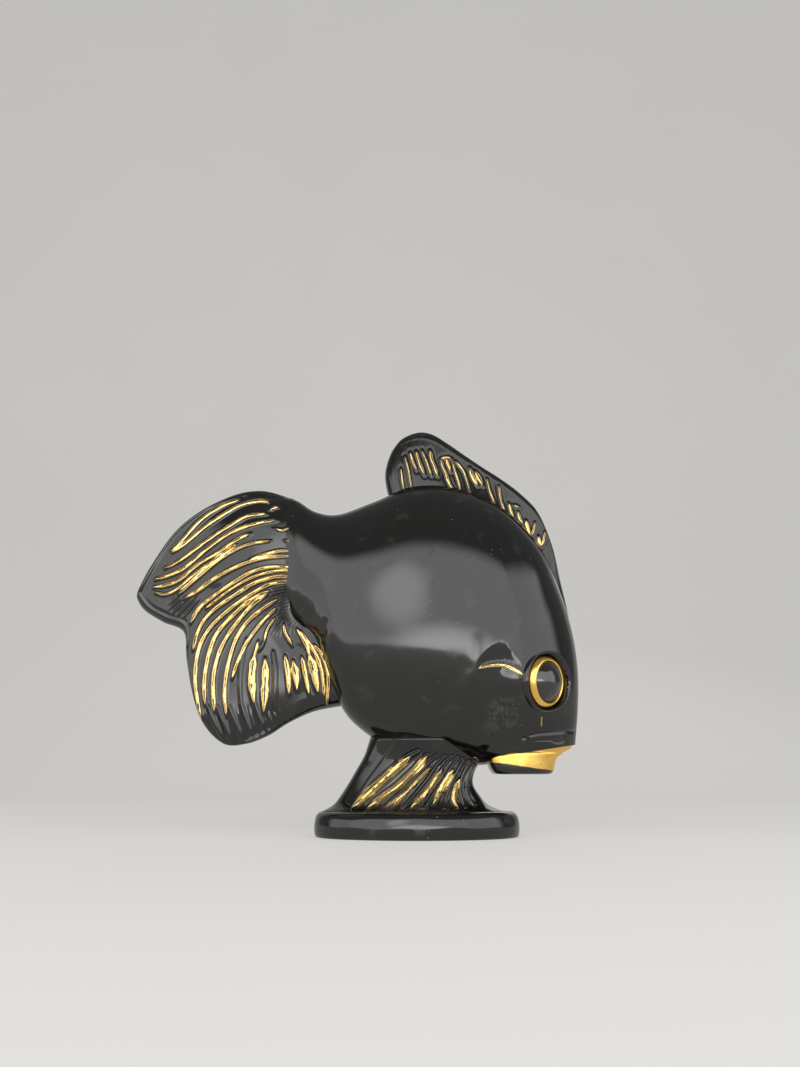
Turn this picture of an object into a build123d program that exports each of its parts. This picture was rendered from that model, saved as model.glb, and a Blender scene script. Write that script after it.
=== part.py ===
from build123d import *
import math
import os

# Fantail fish figurine on an oval base, in millimetres.
# The fish swims towards +X and stands upright, +Z up. Its middle plane is y = 0.
# The origin is the middle of the underside of the base.

# Size of the whole fish, above the base
fish_length = 163.0
fish_height = 142.0
body_thickness = 45.0

# Oval base
base_length = 71.0
base_width = 41.0
base_height = 8.5
base_draft_angle = 4.0
base_top_radius = 2.4
base_foot_radius = 0.7

# Hollow body, cast as a left and a right shell
shell_wall = 3.6
peg_boss_diameter = 8.0
peg_diameter = 3.0
peg_length = 12.0

# Seats
seat_clearance = 0.1
cut_overrun = 5.0
skin_tolerance = 0.01

# Fins
tail_root_thickness = 18.0
tail_edge_thickness = 9.0
tail_rim_width = 6.0
tail_tenon_length = 9.0
tail_tenon_height = 26.0
tail_tenon_thickness = 7.0
dorsal_thickness = 9.0
dorsal_rim_width = 4.2
dorsal_rib_height = 0.3
dorsal_tongue_length = 7.0
dorsal_tongue_thickness = 3.0

# Pelvic fins that carry the fish
stand_foot_depth = 27.0
stand_waist_depth = 19.0
stand_rib_height = 0.4
stand_pin_diameter = 6.0
stand_pin_length = 40.0
stand_pin_seat = 5.5
stand_pin_boss_diameter = 13.0

# Lower jaw
jaw_width = 17.0
jaw_edge_radius = 1.2
jaw_peg_diameter = 4.0
jaw_peg_length = 5.0

# Eyes
eye_turn_angle = 43.0
eye_dip_angle = 6.0
eye_collar_diameter = 21.6
eye_collar_height = 1.2
eye_collar_depth = 7.2
eye_ring_diameter = 18.0
eye_ring_height = 3.4
eye_ring_sink = 1.8
eye_diameter = 14.6
eye_bulge = 4.4
eye_stem_diameter = 6.0
eye_stem_length = 4.0


# Places on the fish, as shares of its length and of its height above the base

def spot(x_share, z_share, y=0.0):
    """Point at a share of the fish's length and height."""
    return Vector(x_share * fish_length, y, base_height + z_share * fish_height)


def blend(values, share):
    """Smooth curve through rows of numbers, read at a share of its run."""
    last = len(values) - 1
    start = min(int(share * last), last - 1)
    f = share * last - start
    b, c = values[start], values[start + 1]
    a = values[start - 1] if start > 0 else [2 * p - q for p, q in zip(b, c)]
    d = values[start + 2] if start + 2 <= last else [2 * q - p for p, q in zip(b, c)]
    return [
        q + f * (r - p + f * (2 * p - 5 * q + 4 * r - s + f * (3 * (q - r) + s - p))) / 2
        for p, q, r, s in zip(a, b, c, d)
    ]


# Body: slices that fan round from the tail root to the mouth.
# Each row is the belly point, the back point and the fullness of one slice.
body_slice_shares = [
    (-0.284, 0.481, -0.295, 0.811, 0.43),
    (-0.256, 0.442, -0.271, 0.794, 0.52),
    (-0.217, 0.388, -0.230, 0.765, 0.63),
    (-0.184, 0.296, -0.177, 0.759, 0.74),
    (-0.145, 0.217, -0.097, 0.794, 0.85),
    (-0.061, 0.148, -0.007, 0.837, 0.95),
    (0.004, 0.129, 0.096, 0.832, 1.00),
    (0.051, 0.121, 0.206, 0.774, 1.00),
    (0.084, 0.114, 0.287, 0.669, 0.96),
    (0.108, 0.109, 0.328, 0.551, 0.88),
    (0.128, 0.107, 0.352, 0.439, 0.77),
    (0.145, 0.107, 0.360, 0.336, 0.65),
    (0.157, 0.111, 0.355, 0.241, 0.52),
    (0.165, 0.124, 0.345, 0.155, 0.40),
]
solid_slice_count = 3
hollow_slice_count = 7
rear_slice_count = 6
arc_steps = 24
steps_per_slice = 3


def slice_arc(row, inset):
    """Right half of one slice from back to belly, drawn in by an inset."""
    belly, back = spot(row[0], row[1]), spot(row[2], row[3])
    along = (back - belly).normalized()
    middle = (belly + back) / 2
    reach = (back - belly).length / 2 - inset
    half = body_thickness * row[4] / 2 - inset
    arc = [middle + along * reach]
    for step in range(1, arc_steps):
        turn = math.pi * step / arc_steps
        arc.append(middle + along * (reach * math.cos(turn)) - Vector(0, half * math.sin(turn), 0))
    return arc + [middle - along * reach]


def right_half(rows, inset):
    """Right half of a form through rows of slices: its skin, end caps and middle face."""
    steps = (len(rows) - 1) * steps_per_slice
    arcs = [slice_arc(blend(rows, step / steps), inset) for step in range(steps + 1)]
    skin = Face.make_surface_from_array_of_points(arcs, tol=skin_tolerance)
    rims = [edge for edge in skin.edges() if abs((edge @ 0.5).Y) < skin_tolerance]
    ends = [edge for edge in skin.edges() if abs((edge @ 0.5).Y) >= skin_tolerance]
    chords = [Edge.make_line(edge @ 0, edge @ 1) for edge in ends]
    caps = [Face(Wire([edge, chord])) for edge, chord in zip(ends, chords)]
    middle = Face(Wire(rims + chords))
    return Solid(Shell([skin, middle] + caps))


def whole(half):
    """Both halves of a form, joined across the middle plane."""
    return half + mirror(half, about=Plane.XZ)


def body_form():
    """Outside of the body."""
    return whole(right_half(body_slice_shares, 0))


def body_hollow():
    """Space inside the shells."""
    rows = body_slice_shares[solid_slice_count:][:hollow_slice_count]
    return whole(right_half(rows, shell_wall))


# Eyes: each turned towards the head's front and dipped a little
eye_x_share = 0.272
eye_z_share = 0.300
eye_out_share = 0.315
eye_collar_round_share = 0.8
eye_ring_round_share = 0.5


def eye_plane(side):
    """Plane of an eye, its axis out of the head. The side is -1 right, 1 left."""
    centre = spot(eye_x_share, eye_z_share, side * eye_out_share * body_thickness)
    turn, dip = math.radians(eye_turn_angle), math.radians(eye_dip_angle)
    axis = Vector(
        math.sin(turn) * math.cos(dip), side * math.cos(turn) * math.cos(dip), -math.sin(dip)
    )
    return Plane(origin=centre, z_dir=axis)


def rod(plane, diameter, start, end):
    """Round bar along a plane's axis, from a start height to an end height."""
    bar = Solid.make_cylinder(diameter / 2, end - start)
    return plane.offset(start).location * bar


def eye_collar(side):
    """Raised black rim round an eye, part of the body."""
    collar = rod(eye_plane(side), eye_collar_diameter, -eye_collar_depth, eye_collar_height)
    top = collar.edges().sort_by_distance(eye_plane(side).offset(eye_collar_height).origin)[0]
    return fillet(top, eye_collar_round_share * eye_collar_height)


def eye_seat(side):
    """Pocket for the ring and bore for the stem of the eye."""
    plane = eye_plane(side)
    pocket = rod(plane, eye_ring_diameter + 2 * seat_clearance, -eye_ring_sink, cut_overrun)
    bore = rod(
        plane, eye_stem_diameter + 2 * seat_clearance,
        -eye_ring_sink - eye_stem_length - seat_clearance, 0,
    )
    return pocket + bore


def eye_ring(side):
    """Gilded ring round the eye, its outer rim rounded."""
    plane = eye_plane(side)
    rise = eye_ring_height - eye_ring_sink
    disc = rod(plane, eye_ring_diameter, -eye_ring_sink, rise)
    crown = disc.edges().sort_by_distance(plane.offset(cut_overrun + rise).origin)[0]
    disc = fillet(crown, eye_ring_round_share * (eye_ring_diameter - eye_diameter) / 2)
    return disc - rod(plane, eye_diameter + 2 * seat_clearance, -cut_overrun, cut_overrun)


def eye_dome(side):
    """Glossy pupil with its stem."""
    plane = eye_plane(side)
    brow = eye_ring_height - eye_ring_sink - eye_bulge / 4
    radius = ((eye_diameter / 2) ** 2 + eye_bulge ** 2) / (2 * eye_bulge)
    ball = plane.offset(brow + eye_bulge - radius).location * Solid.make_sphere(radius)
    barrel = rod(plane, eye_diameter, -eye_ring_sink, brow + eye_bulge)
    stem = rod(plane, eye_stem_diameter, -eye_ring_sink - eye_stem_length, -eye_ring_sink)
    return (barrel & ball) + stem


# Ribbed fin: two mirrored skins laid over a fan of rays, closed along the fin's outline

def even_steps(count, ease):
    """Shares from 0 to 1 that lie closer together at both ends."""
    return [
        (1 - ease) * step / count + ease * (1 - math.cos(math.pi * step / count)) / 2
        for step in range(count + 1)
    ]


def rounding(distance, radius):
    """Share of the thickness left at a distance from a rounded edge."""
    gap = max(0.0, 1 - distance / radius)
    return math.sqrt(1 - gap * gap)


def ribbed_fin(ray_shares, thickness, ribs, rib_height, rim):
    """Solid fin between its first and last ray, each ray running from root to edge."""
    def place(along, across):
        x_share, z_share = blend([blend(ray, along) for ray in ray_shares], across)
        return spot(x_share, z_share)

    def skin_point(along, across):
        here = place(along, across)
        to_edge = (here - place(1, across)).length
        to_root = (here - place(0, across)).length
        to_first, to_last = (here - place(along, 0)).length, (here - place(along, 1)).length
        field = min(1, to_edge / rim) * min(1, to_first / rim) * min(1, to_last / rim)
        half = thickness / 2 + rib_height * math.cos(2 * math.pi * ribs * across) * field
        for distance in (to_edge, to_first, to_root, to_last):
            half *= rounding(distance, rim)
        return here - Vector(0, half, 0)

    points = [
        [skin_point(along, across) for along in even_steps(ray_steps, ray_ease_share)]
        for across in even_steps(ribs * steps_per_rib, fan_ease_share)
    ]
    skin = Face.make_surface_from_array_of_points(points, tol=skin_tolerance)
    return Solid(Shell([skin, mirror(skin, about=Plane.XZ)]))


ray_steps = 18
ray_ease_share = 0.8
steps_per_rib = 4
fan_ease_share = 0.5

# Tail: two lobes lofted through level slices, each with a round edge and a flat root end.
# Each row is the height, the edge, the gap from the rear of the body, and the fullness of edge and root.
tail_slice_shares = [
    (0.157, -0.413, 0.302, 0.45, 0.25),
    (0.175, -0.443, 0.235, 0.75, 0.30),
    (0.205, -0.466, 0.130, 0.95, 0.35),
    (0.250, -0.485, 0.018, 1.00, 0.45),
    (0.300, -0.499, 0.004, 1.00, 0.55),
    (0.350, -0.506, 0.003, 1.00, 0.60),
    (0.400, -0.512, 0.003, 1.00, 0.60),
    (0.440, -0.532, 0.003, 1.00, 0.60),
    (0.481, -0.598, 0.002, 1.00, 0.60),
    (0.530, -0.637, 0.000, 1.00, 0.78),
    (0.590, -0.621, 0.000, 1.00, 0.98),
    (0.650, -0.591, 0.000, 1.00, 1.00),
    (0.710, -0.557, 0.000, 1.00, 0.90),
    (0.765, -0.507, 0.001, 0.95, 0.66),
    (0.805, -0.449, 0.005, 0.75, 0.28),
    (0.827, -0.392, 0.052, 0.40, 0.12),
]
tail_rim_steps = 6
tail_rim_limit_share = 0.45
tail_tenon_shares = (-0.295, 0.66)


def body_rear(z_share):
    """Share of the length where the body's rear lies at a height: its belly line, then its flat end."""
    line = [row[:2] for row in reversed(body_slice_shares[:rear_slice_count])]
    line.append(body_slice_shares[0][2:4])
    for lower, upper in zip(line, line[1:]):
        if z_share <= upper[1]:
            break
    run = (z_share - lower[1]) / (upper[1] - lower[1])
    return lower[0] + (upper[0] - lower[0]) * run


def tail_slice(row):
    """Closed outline of the tail at one height."""
    height, edge_share, gap_share, edge_fullness, root_fullness = row
    edge, z = edge_share * fish_length, base_height + height * fish_height
    root = (body_rear(height) - gap_share) * fish_length - seat_clearance
    edge_half = tail_edge_thickness / 2 * edge_fullness
    root_half = tail_root_thickness / 2 * root_fullness
    rim = min(tail_rim_width, tail_rim_limit_share * (root - edge))
    side = []
    for step in range(tail_rim_steps):
        turn = math.pi / 2 * step / tail_rim_steps
        side.append((edge + rim * (1 - math.cos(turn)), edge_half * math.sin(turn)))
    for run in (0, 1 / 3, 2 / 3, 1):
        along = edge + rim + (root - edge - rim) * run
        side.append((along, edge_half + (root_half - edge_half) * run))
    right = [Vector(x, -y, z) for x, y in reversed(side)]
    left = [Vector(x, y, z) for x, y in side[1:]]
    return Wire([Spline(*right, *left), Edge.make_line(left[-1], right[0])])


def tail_tenon(clearance):
    """Flat tenon from the tail root into the body, grown by a clearance."""
    root = spot(*tail_tenon_shares)
    return Pos(root) * Box(
        2 * tail_tenon_length + 2 * clearance,
        tail_tenon_thickness + 2 * clearance,
        tail_tenon_height + 2 * clearance,
    )


def tail_fan():
    """Fantail of two lobes with its tenon."""
    return Solid.make_loft([tail_slice(row) for row in tail_slice_shares]) + tail_tenon(0)


# Dorsal fin: rays from the back up to the fin's edge, front ray last
dorsal_rib_count = 16
dorsal_ray_shares = [
    [(-0.06, 0.79), (-0.071, 0.861), (-0.068, 0.902), (-0.056, 0.946)],
    [(-0.04, 0.79), (-0.044, 0.87), (-0.04, 0.93), (-0.030, 0.983)],
    [(-0.01, 0.79), (-0.006, 0.87), (0.0, 0.94), (0.008, 1.002)],
    [(0.03, 0.79), (0.034, 0.87), (0.037, 0.93), (0.042, 0.997)],
    [(0.08, 0.79), (0.079, 0.84), (0.077, 0.90), (0.078, 0.971)],
    [(0.14, 0.78), (0.128, 0.82), (0.121, 0.87), (0.116, 0.938)],
    [(0.19, 0.74), (0.180, 0.78), (0.170, 0.83), (0.162, 0.899)],
    [(0.225, 0.69), (0.220, 0.74), (0.214, 0.79), (0.208, 0.862)],
    [(0.26, 0.62), (0.258, 0.68), (0.255, 0.74), (0.252, 0.820)],
    [(0.285, 0.55), (0.287, 0.61), (0.290, 0.69), (0.292, 0.765)],
    [(0.30, 0.50), (0.308, 0.56), (0.315, 0.62), (0.321, 0.670)],
]
dorsal_tongue_shares = [(0.0, 0.837), (0.096, 0.837), (0.18, 0.79)]


def dorsal_tongue(clearance):
    """Thin tongue under the fin that stands in a slot in the back, grown by a clearance."""
    line = [spot(*share) for share in dorsal_tongue_shares]
    drop = Vector(0, 0, dorsal_tongue_length + clearance)
    ends = [Vector(-clearance, 0, 0), Vector(0, 0, 0), Vector(clearance, 0, 0)]
    top = [point + end + Vector(0, 0, dorsal_tongue_length) for point, end in zip(line, ends)]
    bottom = [point + end - drop for point, end in zip(line, ends)]
    side = Face(Wire(Polyline(*top, *reversed(bottom), close=True)))
    return extrude(side, dorsal_tongue_thickness / 2 + clearance, dir=(0, 1, 0), both=True)


def dorsal_fin(body):
    """Back fin, cut to the body, with its tongue."""
    fin = ribbed_fin(
        dorsal_ray_shares, dorsal_thickness, dorsal_rib_count, dorsal_rib_height, dorsal_rim_width
    )
    return fin - body + dorsal_tongue(0)


# Pelvic fins: one ribbed foot between the base and the belly, lofted through level slices.
# Each row is the height, the left and right edges from foot to top, and the depth from foot to waist.
stand_top_share = 0.173
stand_foot_shares = (-0.458, 0.415)
stand_neck_shares = (-0.100, 0.150)
stand_slice_shares = [
    (0.00, 0.00, 0.00, 0.00),
    (0.08, 0.22, 0.94, 0.50),
    (0.19, 0.36, 1.46, 0.78),
    (0.37, 0.54, 1.96, 0.96),
    (0.57, 0.72, 1.72, 1.00),
    (0.76, 0.88, 1.00, 0.97),
    (1.00, 1.00, 1.00, 0.92),
]
stand_rib_count = 9
stand_rib_start_shares = (0.17, 0.55)
stand_rib_end_share = 0.97
stand_side_power = 2.6


def stand_slice(row):
    """Closed wavy outline of the pelvic fins at one height."""
    height, left_run, right_run, depth_run = row
    edges = [
        foot * base_length + (neck * fish_length - foot * base_length) * run
        for foot, neck, run in zip(stand_foot_shares, stand_neck_shares, (left_run, right_run))
    ]
    half = (stand_foot_depth + (stand_waist_depth - stand_foot_depth) * depth_run) / 2
    z = base_height + height * stand_top_share * fish_height
    foot_start, top_start = stand_rib_start_shares
    start = foot_start + (top_start - foot_start) * height
    front = []
    plain_steps, rib_steps = 6, 4 * stand_rib_count
    shares = [start * (1 - math.cos(math.pi * step / plain_steps / 2)) for step in range(plain_steps)]
    shares += [start + (stand_rib_end_share - start) * step / rib_steps for step in range(rib_steps + 1)]
    for step, share in enumerate(shares):
        bulge = (1 - abs(2 * share - 1) ** stand_side_power) ** (1 / stand_side_power)
        wave = 0.0
        if step > plain_steps:
            wave = stand_rib_height * math.sin(math.pi * (step - plain_steps) / 2)
        front.append((edges[0] + (edges[1] - edges[0]) * share, half * bulge + wave * min(1, bulge)))
    ring = [Vector(x, -y, z) for x, y in front]
    ring.append(Vector(edges[1], 0, z))
    ring += [Vector(x, y, z) for x, y in reversed(front[1:])]
    return Wire([Spline(*ring, periodic=True)])


def stand_pin(clearance):
    """Steel pin from the base through the pelvic fins into the belly, grown by a clearance."""
    bottom = base_height - stand_pin_seat - clearance
    return Pos(0, 0, bottom) * Solid.make_cylinder(
        stand_pin_diameter / 2 + clearance, stand_pin_length + 2 * clearance
    )


def fin_stand(body):
    """Pelvic fins that the fish stands on, cut to the belly and bored for the pin."""
    return Solid.make_loft([stand_slice(row) for row in stand_slice_shares]) - body - stand_pin(seat_clearance)


# Base

def oval_base():
    """Oval base with a rounded shoulder, bored for the pin."""
    oval = Face(Wire([Edge.make_ellipse(base_length / 2, base_width / 2)]))
    base = extrude(oval, base_height, taper=base_draft_angle)
    base = fillet(base.edges().group_by(Axis.Z)[-1], base_top_radius)
    base = fillet(base.edges().group_by(Axis.Z)[0], base_foot_radius)
    return base - stand_pin(seat_clearance)


# Lower jaw: gilded, under the front of the head
jaw_profile_shares = [
    (0.152, 0.083), (0.283, 0.084), (0.295, 0.098), (0.299, 0.116),
    (0.314, 0.130), (0.334, 0.143), (0.345, 0.170), (0.152, 0.170),
]
jaw_peg_shares = (0.235, 0.145)


def jaw_peg(clearance):
    """Peg that stands up from the jaw into the head, grown by a clearance."""
    foot = spot(*jaw_peg_shares)
    return Pos(foot - Vector(0, 0, jaw_peg_length)) * Solid.make_cylinder(
        jaw_peg_diameter / 2 + clearance, 2 * jaw_peg_length + clearance
    )


def lower_jaw(body):
    """Lower jaw, rounded in plan like a shovel, cut to the head."""
    profile = Face(Wire(Polyline(*[spot(*share) for share in jaw_profile_shares], close=True)))
    slab = extrude(profile, jaw_width, dir=(0, 1, 0), both=True)
    front = max(share[0] for share in jaw_profile_shares) * fish_length
    rear = min(share[0] for share in jaw_profile_shares) * fish_length
    plan = Pos(rear, 0, base_height) * extrude(
        Face(Wire([Edge.make_ellipse(front - rear, jaw_width / 2)])), fish_height / 2
    )
    jaw = slab & plan
    jaw = fillet(jaw.edges().group_by(Axis.Z)[0], jaw_edge_radius)
    return jaw - body + jaw_peg(0)


# Body shells

def peg(share, clearance):
    """Round peg across the joint of the two shells, grown by a clearance."""
    return Pos(spot(*share)) * Rot(X=90) * Cylinder(
        peg_diameter / 2 + clearance, peg_length + 2 * clearance
    )


peg_place_shares = [(-0.08, 0.66), (0.17, 0.62), (-0.03, 0.30)]


def body_shell(side):
    """Right shell for side -1 or left shell for side 1, with seats for all that it carries."""
    hollow = body_hollow()
    for share in peg_place_shares:
        hollow -= Pos(spot(*share)) * Rot(X=90) * Cylinder(peg_boss_diameter / 2, body_thickness)
    pin_top = base_height - stand_pin_seat + stand_pin_length
    hollow -= Pos(0, 0, base_height) * Solid.make_cylinder(
        stand_pin_boss_diameter / 2, pin_top - base_height + shell_wall
    )
    outside = right_half(body_slice_shares, 0)
    if side > 0:
        outside = mirror(outside, about=Plane.XZ)
    shell = outside + eye_collar(side) - hollow - eye_seat(side)
    for seat in (tail_tenon, dorsal_tongue, stand_pin, jaw_peg):
        shell -= seat(seat_clearance)
    for share in peg_place_shares:
        shell -= peg(share, seat_clearance)
    return shell


# Build and write

body = body_form()
parts = {
    "oval_base": oval_base(),
    "fin_stand": fin_stand(body),
    "stand_pin": stand_pin(0),
    "body_shell_right": body_shell(-1),
    "body_shell_left": body_shell(1),
    "shell_pegs": Compound([peg(share, 0) for share in peg_place_shares]),
    "tail_fan": tail_fan(),
    "dorsal_fin": dorsal_fin(body),
    "lower_jaw": lower_jaw(body),
    "eye_ring_right": eye_ring(-1),
    "eye_ring_left": eye_ring(1),
    "eye_right": eye_dome(-1),
    "eye_left": eye_dome(1),
}
os.makedirs("parts", exist_ok=True)
for name, shape in parts.items():
    export_step(shape, f"parts/{name}.step")
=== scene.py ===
import bmesh
import bpy
import math
import numpy as np
from mathutils import Matrix, Vector
from mathutils.bvhtree import BVHTree


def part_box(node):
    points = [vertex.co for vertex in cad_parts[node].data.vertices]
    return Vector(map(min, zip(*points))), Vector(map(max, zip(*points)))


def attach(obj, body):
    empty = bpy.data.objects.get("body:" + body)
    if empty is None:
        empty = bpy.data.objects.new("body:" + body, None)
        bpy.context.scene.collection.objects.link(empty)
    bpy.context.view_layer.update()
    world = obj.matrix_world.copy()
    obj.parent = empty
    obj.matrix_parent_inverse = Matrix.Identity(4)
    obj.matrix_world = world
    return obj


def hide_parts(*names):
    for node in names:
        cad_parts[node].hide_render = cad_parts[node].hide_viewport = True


# Fantail fish figurine, glazed black and painted by hand with gold, in metres.
# It swims towards +X and stands upright on its base. Its middle plane is y = 0.

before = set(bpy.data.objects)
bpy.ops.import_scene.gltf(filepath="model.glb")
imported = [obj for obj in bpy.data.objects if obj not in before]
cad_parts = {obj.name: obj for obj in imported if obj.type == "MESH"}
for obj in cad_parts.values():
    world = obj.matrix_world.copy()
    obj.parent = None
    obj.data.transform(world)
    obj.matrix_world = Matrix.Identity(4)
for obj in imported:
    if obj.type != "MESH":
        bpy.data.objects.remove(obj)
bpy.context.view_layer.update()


# Oval base
# The moulded foot of the figure, black and glossy, with sides that draw in a little towards a round
# shoulder. It stands on its flat underside and carries the pelvic fins.

base_low, base_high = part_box("oval_base")
base_length = base_high.x - base_low.x
base_width = base_high.y - base_low.y
base_height = base_high.z - base_low.z
base_around = 200
# Faint waves of the moulded side: their height, then how many go round and how each leans with height
base_wave_height = 0.00006
base_waves = ((5, 900), (13, -700))
glaze_colours = (0.0028, 0.0028, 0.0024, 1), (0.0050, 0.0042, 0.0034, 1)
dust_colour = (0.22, 0.21, 0.19, 1)
# How far each ring is drawn in, and its height, from the underside up to the middle of the top
base_rings = [
    (0.0080, 0.0000), (0.0014, 0.0000), (0.0009, 0.0001), (0.0006, 0.0004), (0.00035, 0.0009),
    (0.00012, 0.0020), (0.0, 0.0034), (0.00012, 0.0048), (0.00035, 0.0060), (0.0007, 0.0069),
    (0.0012, 0.0076), (0.0019, 0.0081), (0.0027, 0.00838), (0.0034, 0.00846), (0.0041, 0.00844),
    (0.0048, 0.00836), (0.0060, 0.00834), (0.0140, 0.0084),
]


class Value:
    """A node's output, to be used in sums like a number."""

    def __init__(self, paint, socket):
        self.paint = paint
        self.socket = socket

    def math(self, operation, *values):
        return self.paint.node("Math", {"operation": operation}, dict(enumerate(values)))

    def __add__(self, other):
        return self.math("ADD", self, other)

    def __radd__(self, other):
        return self.math("ADD", other, self)

    def __sub__(self, other):
        return self.math("SUBTRACT", self, other)

    def __rsub__(self, other):
        return self.math("SUBTRACT", other, self)

    def __mul__(self, other):
        return self.math("MULTIPLY", self, other)

    def __rmul__(self, other):
        return self.math("MULTIPLY", other, self)

    def __abs__(self):
        return self.math("ABSOLUTE", self)

    def ramp(self, low, high):
        """0 up to low, 1 from high on, smooth between."""
        return self.paint.node(
            "MapRange", {"interpolation_type": "SMOOTHSTEP"},
            {"Value": self, "From Min": low, "From Max": high},
        )


class Paint:
    """A finish and the nodes that make it."""

    def __init__(self, name):
        self.material = bpy.data.materials.new(name)
        self.material.use_nodes = True
        self.nodes = self.material.node_tree.nodes
        self.shader = self.nodes["Principled BSDF"]

    def feed(self, socket, value):
        if isinstance(value, Value):
            self.material.node_tree.links.new(value.socket, socket)
        else:
            socket.default_value = value

    def node(self, kind, settings, sockets, out=0):
        """A node's output: its settings come first, then the values or links of its sockets."""
        made = self.nodes.new("ShaderNode" + kind)
        for name, setting in settings.items():
            setattr(made, name, setting)
        for name, value in sockets.items():
            self.feed(made.inputs[name], value)
        return Value(self, made.outputs[out])

    def blend(self, share, first, second):
        """Colour between two colours."""
        return self.node("Mix", {"data_type": "RGBA"}, {0: share, 6: first, 7: second}, out=2)

    def noise(self, place, scale, detail=2.0, stretch=(1.0, 1.0, 1.0)):
        """Cloudy pattern between 0 and 1, with a number of clouds to the metre."""
        spread = self.node("VectorMath", {"operation": "MULTIPLY"}, {0: place, 1: stretch})
        return self.node("TexNoise", {}, {"Vector": spread, "Scale": scale, "Detail": detail})

    def finish(self, **sockets):
        """Sets the shader's sockets, written with _ for a space, and returns the material."""
        for name, value in sockets.items():
            self.feed(self.shader.inputs[name.replace("_", " ")], value)
        return self.material

    def relief(self, height, depth):
        """Normal of a surface with a fine pattern of a depth in metres."""
        return self.node("Bump", {}, {"Height": height, "Distance": depth, "Strength": 1.0})


def glazed_black(name, dust, scuffs=()):
    """Black gloss with soft waves, smudges, fine scratches, specks of dust and scuffed patches."""
    paint = Paint(name)
    place = paint.node("TexCoord", {}, {}, out="Object")
    cloud = paint.noise(place, 45.0, 3.0)
    scuff = 0.0
    for centre, reach, strength in scuffs:
        mirrored = paint.node("VectorMath", {"operation": "ABSOLUTE"}, {0: place})
        gap = paint.node("VectorMath", {"operation": "DISTANCE"}, {0: mirrored, 1: centre}, out="Value")
        upright = paint.noise(place, 900.0, 2.0, (1.0, 1.0, 0.35))
        level = paint.noise(place, 900.0, 2.0, (0.3, 1.0, 1.0))
        hatch = (upright + level).ramp(0.86, 1.12)
        scuff = (1 - gap.ramp(reach * 0.5, reach)) * hatch * strength + scuff
    smudge = paint.noise(place, 160.0, 4.0).ramp(0.56, 0.74)
    scratch = paint.noise(place, 420.0, 1.0, (1.0, 1.0, 9.0)).ramp(0.70, 0.76)
    grain = paint.node("TexVoronoi", {}, {"Vector": place, "Scale": 330.0}, out="Distance")
    speck = (1 - grain.ramp(0.03, 0.09)) * paint.noise(place, 90.0).ramp(0.52, 0.60)
    film = smudge * (0.10 * dust) + speck * dust
    colour = paint.blend(film + scuff * 0.06, paint.blend(cloud, *glaze_colours), dust_colour)
    rough = 0.05 + cloud * 0.05 + smudge * (0.10 * dust) + speck * 0.30 + scratch * 0.10 + scuff * 0.42
    waves = paint.noise(place, 120.0, 1.0)
    return paint.finish(
        Base_Color=colour, Roughness=rough, IOR=1.58, Normal=paint.relief(waves, 0.00003),
    )


def piece(name, points, faces, finish, slot, *nodes):
    """Smooth closed mesh that rides with the figure and stands for the named solids."""
    mesh = bpy.data.meshes.new(name)
    mesh.from_pydata([tuple(point) for point in points], [], [tuple(face) for face in faces])
    work = bmesh.new()
    work.from_mesh(mesh)
    bmesh.ops.recalc_face_normals(work, faces=work.faces)
    work.to_mesh(mesh)
    work.free()
    mesh.shade_smooth()
    mesh.materials.append(finish)
    made = bpy.data.objects.new(name, mesh)
    bpy.context.scene.collection.objects.link(made)
    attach(made, "root")
    if nodes:
        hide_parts(*nodes)
    return made


def closed_rings(rings):
    """Points and faces of a skin through rings of points, each end closed to its middle."""
    rings = np.asarray(rings, float)
    count, around = rings.shape[:2]
    points = np.concatenate([rings.reshape(-1, 3), [rings[0].mean(0)], [rings[-1].mean(0)]])
    index = np.arange(count * around).reshape(count, around)
    following = np.roll(index, -1, 1)
    quads = np.stack([index[:-1], following[:-1], following[1:], index[1:]], -1).reshape(-1, 4)
    first = [(count * around, b, a) for a, b in zip(index[0], following[0])]
    last = [(count * around + 1, a, b) for a, b in zip(index[-1], following[-1])]
    return points, quads.tolist() + first + last


def full_turn(count):
    """Angles of points that lie evenly round an axis."""
    return np.arange(count) * 2 * math.pi / count


def base_ring(inset, height):
    """One ring of the base, a little uneven as a moulded side is."""
    turn = full_turn(base_around)
    wave = sum(np.sin(count * turn + lean * height) for count, lean in base_waves) / len(base_waves)
    inset = inset + base_wave_height * (1 + wave)
    x = (base_length / 2 - inset) * np.cos(turn)
    y = (base_width / 2 - inset) * np.sin(turn)
    tallest = max(ring[1] for ring in base_rings)
    return np.stack([x, y, np.full(base_around, height * base_height / tallest)], -1)


piece(
    "oval_base_skin", *closed_rings([base_ring(*ring) for ring in base_rings]),
    glazed_black("base black", 0.9), "gloss_black", "oval_base",
)


# Pelvic fins
# The fish stands on its pelvic fins, one ribbed foot that is moulded in black. It flares down to the
# base and a little up to the belly. Rays fan out from its neck, and its rear ray is broad and smooth.

fish_length = 0.163
fish_height = 0.142
stand_foot_depth = 0.027
stand_waist_depth = 0.019
stand_top_share = 0.173
stand_foot_shares = (-0.458, 0.415)
stand_neck_shares = (-0.100, 0.150)
# Height, the left and right edges from foot to top, and the depth from foot to waist
stand_slice_shares = [
    (0.00, 0.00, 0.00, 0.00),
    (0.08, 0.22, 0.94, 0.50),
    (0.19, 0.36, 1.46, 0.78),
    (0.37, 0.54, 1.96, 0.96),
    (0.57, 0.72, 1.72, 1.00),
    (0.76, 0.88, 1.00, 0.97),
    (1.00, 1.00, 1.00, 0.92),
]
# The neck flares out towards the belly from a share of its height, and its top edge is rounded
stand_flare = 0.0026
stand_flare_share = 0.66
stand_flare_power = 1.6
stand_top_rounding = 0.0016
stand_rounding_share = 0.94
stand_side_power = 2.6
stand_levels = 110
stand_around = 420
stand_groove_depth = 0.00055
stand_groove_width_pixels = 1.8
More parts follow.
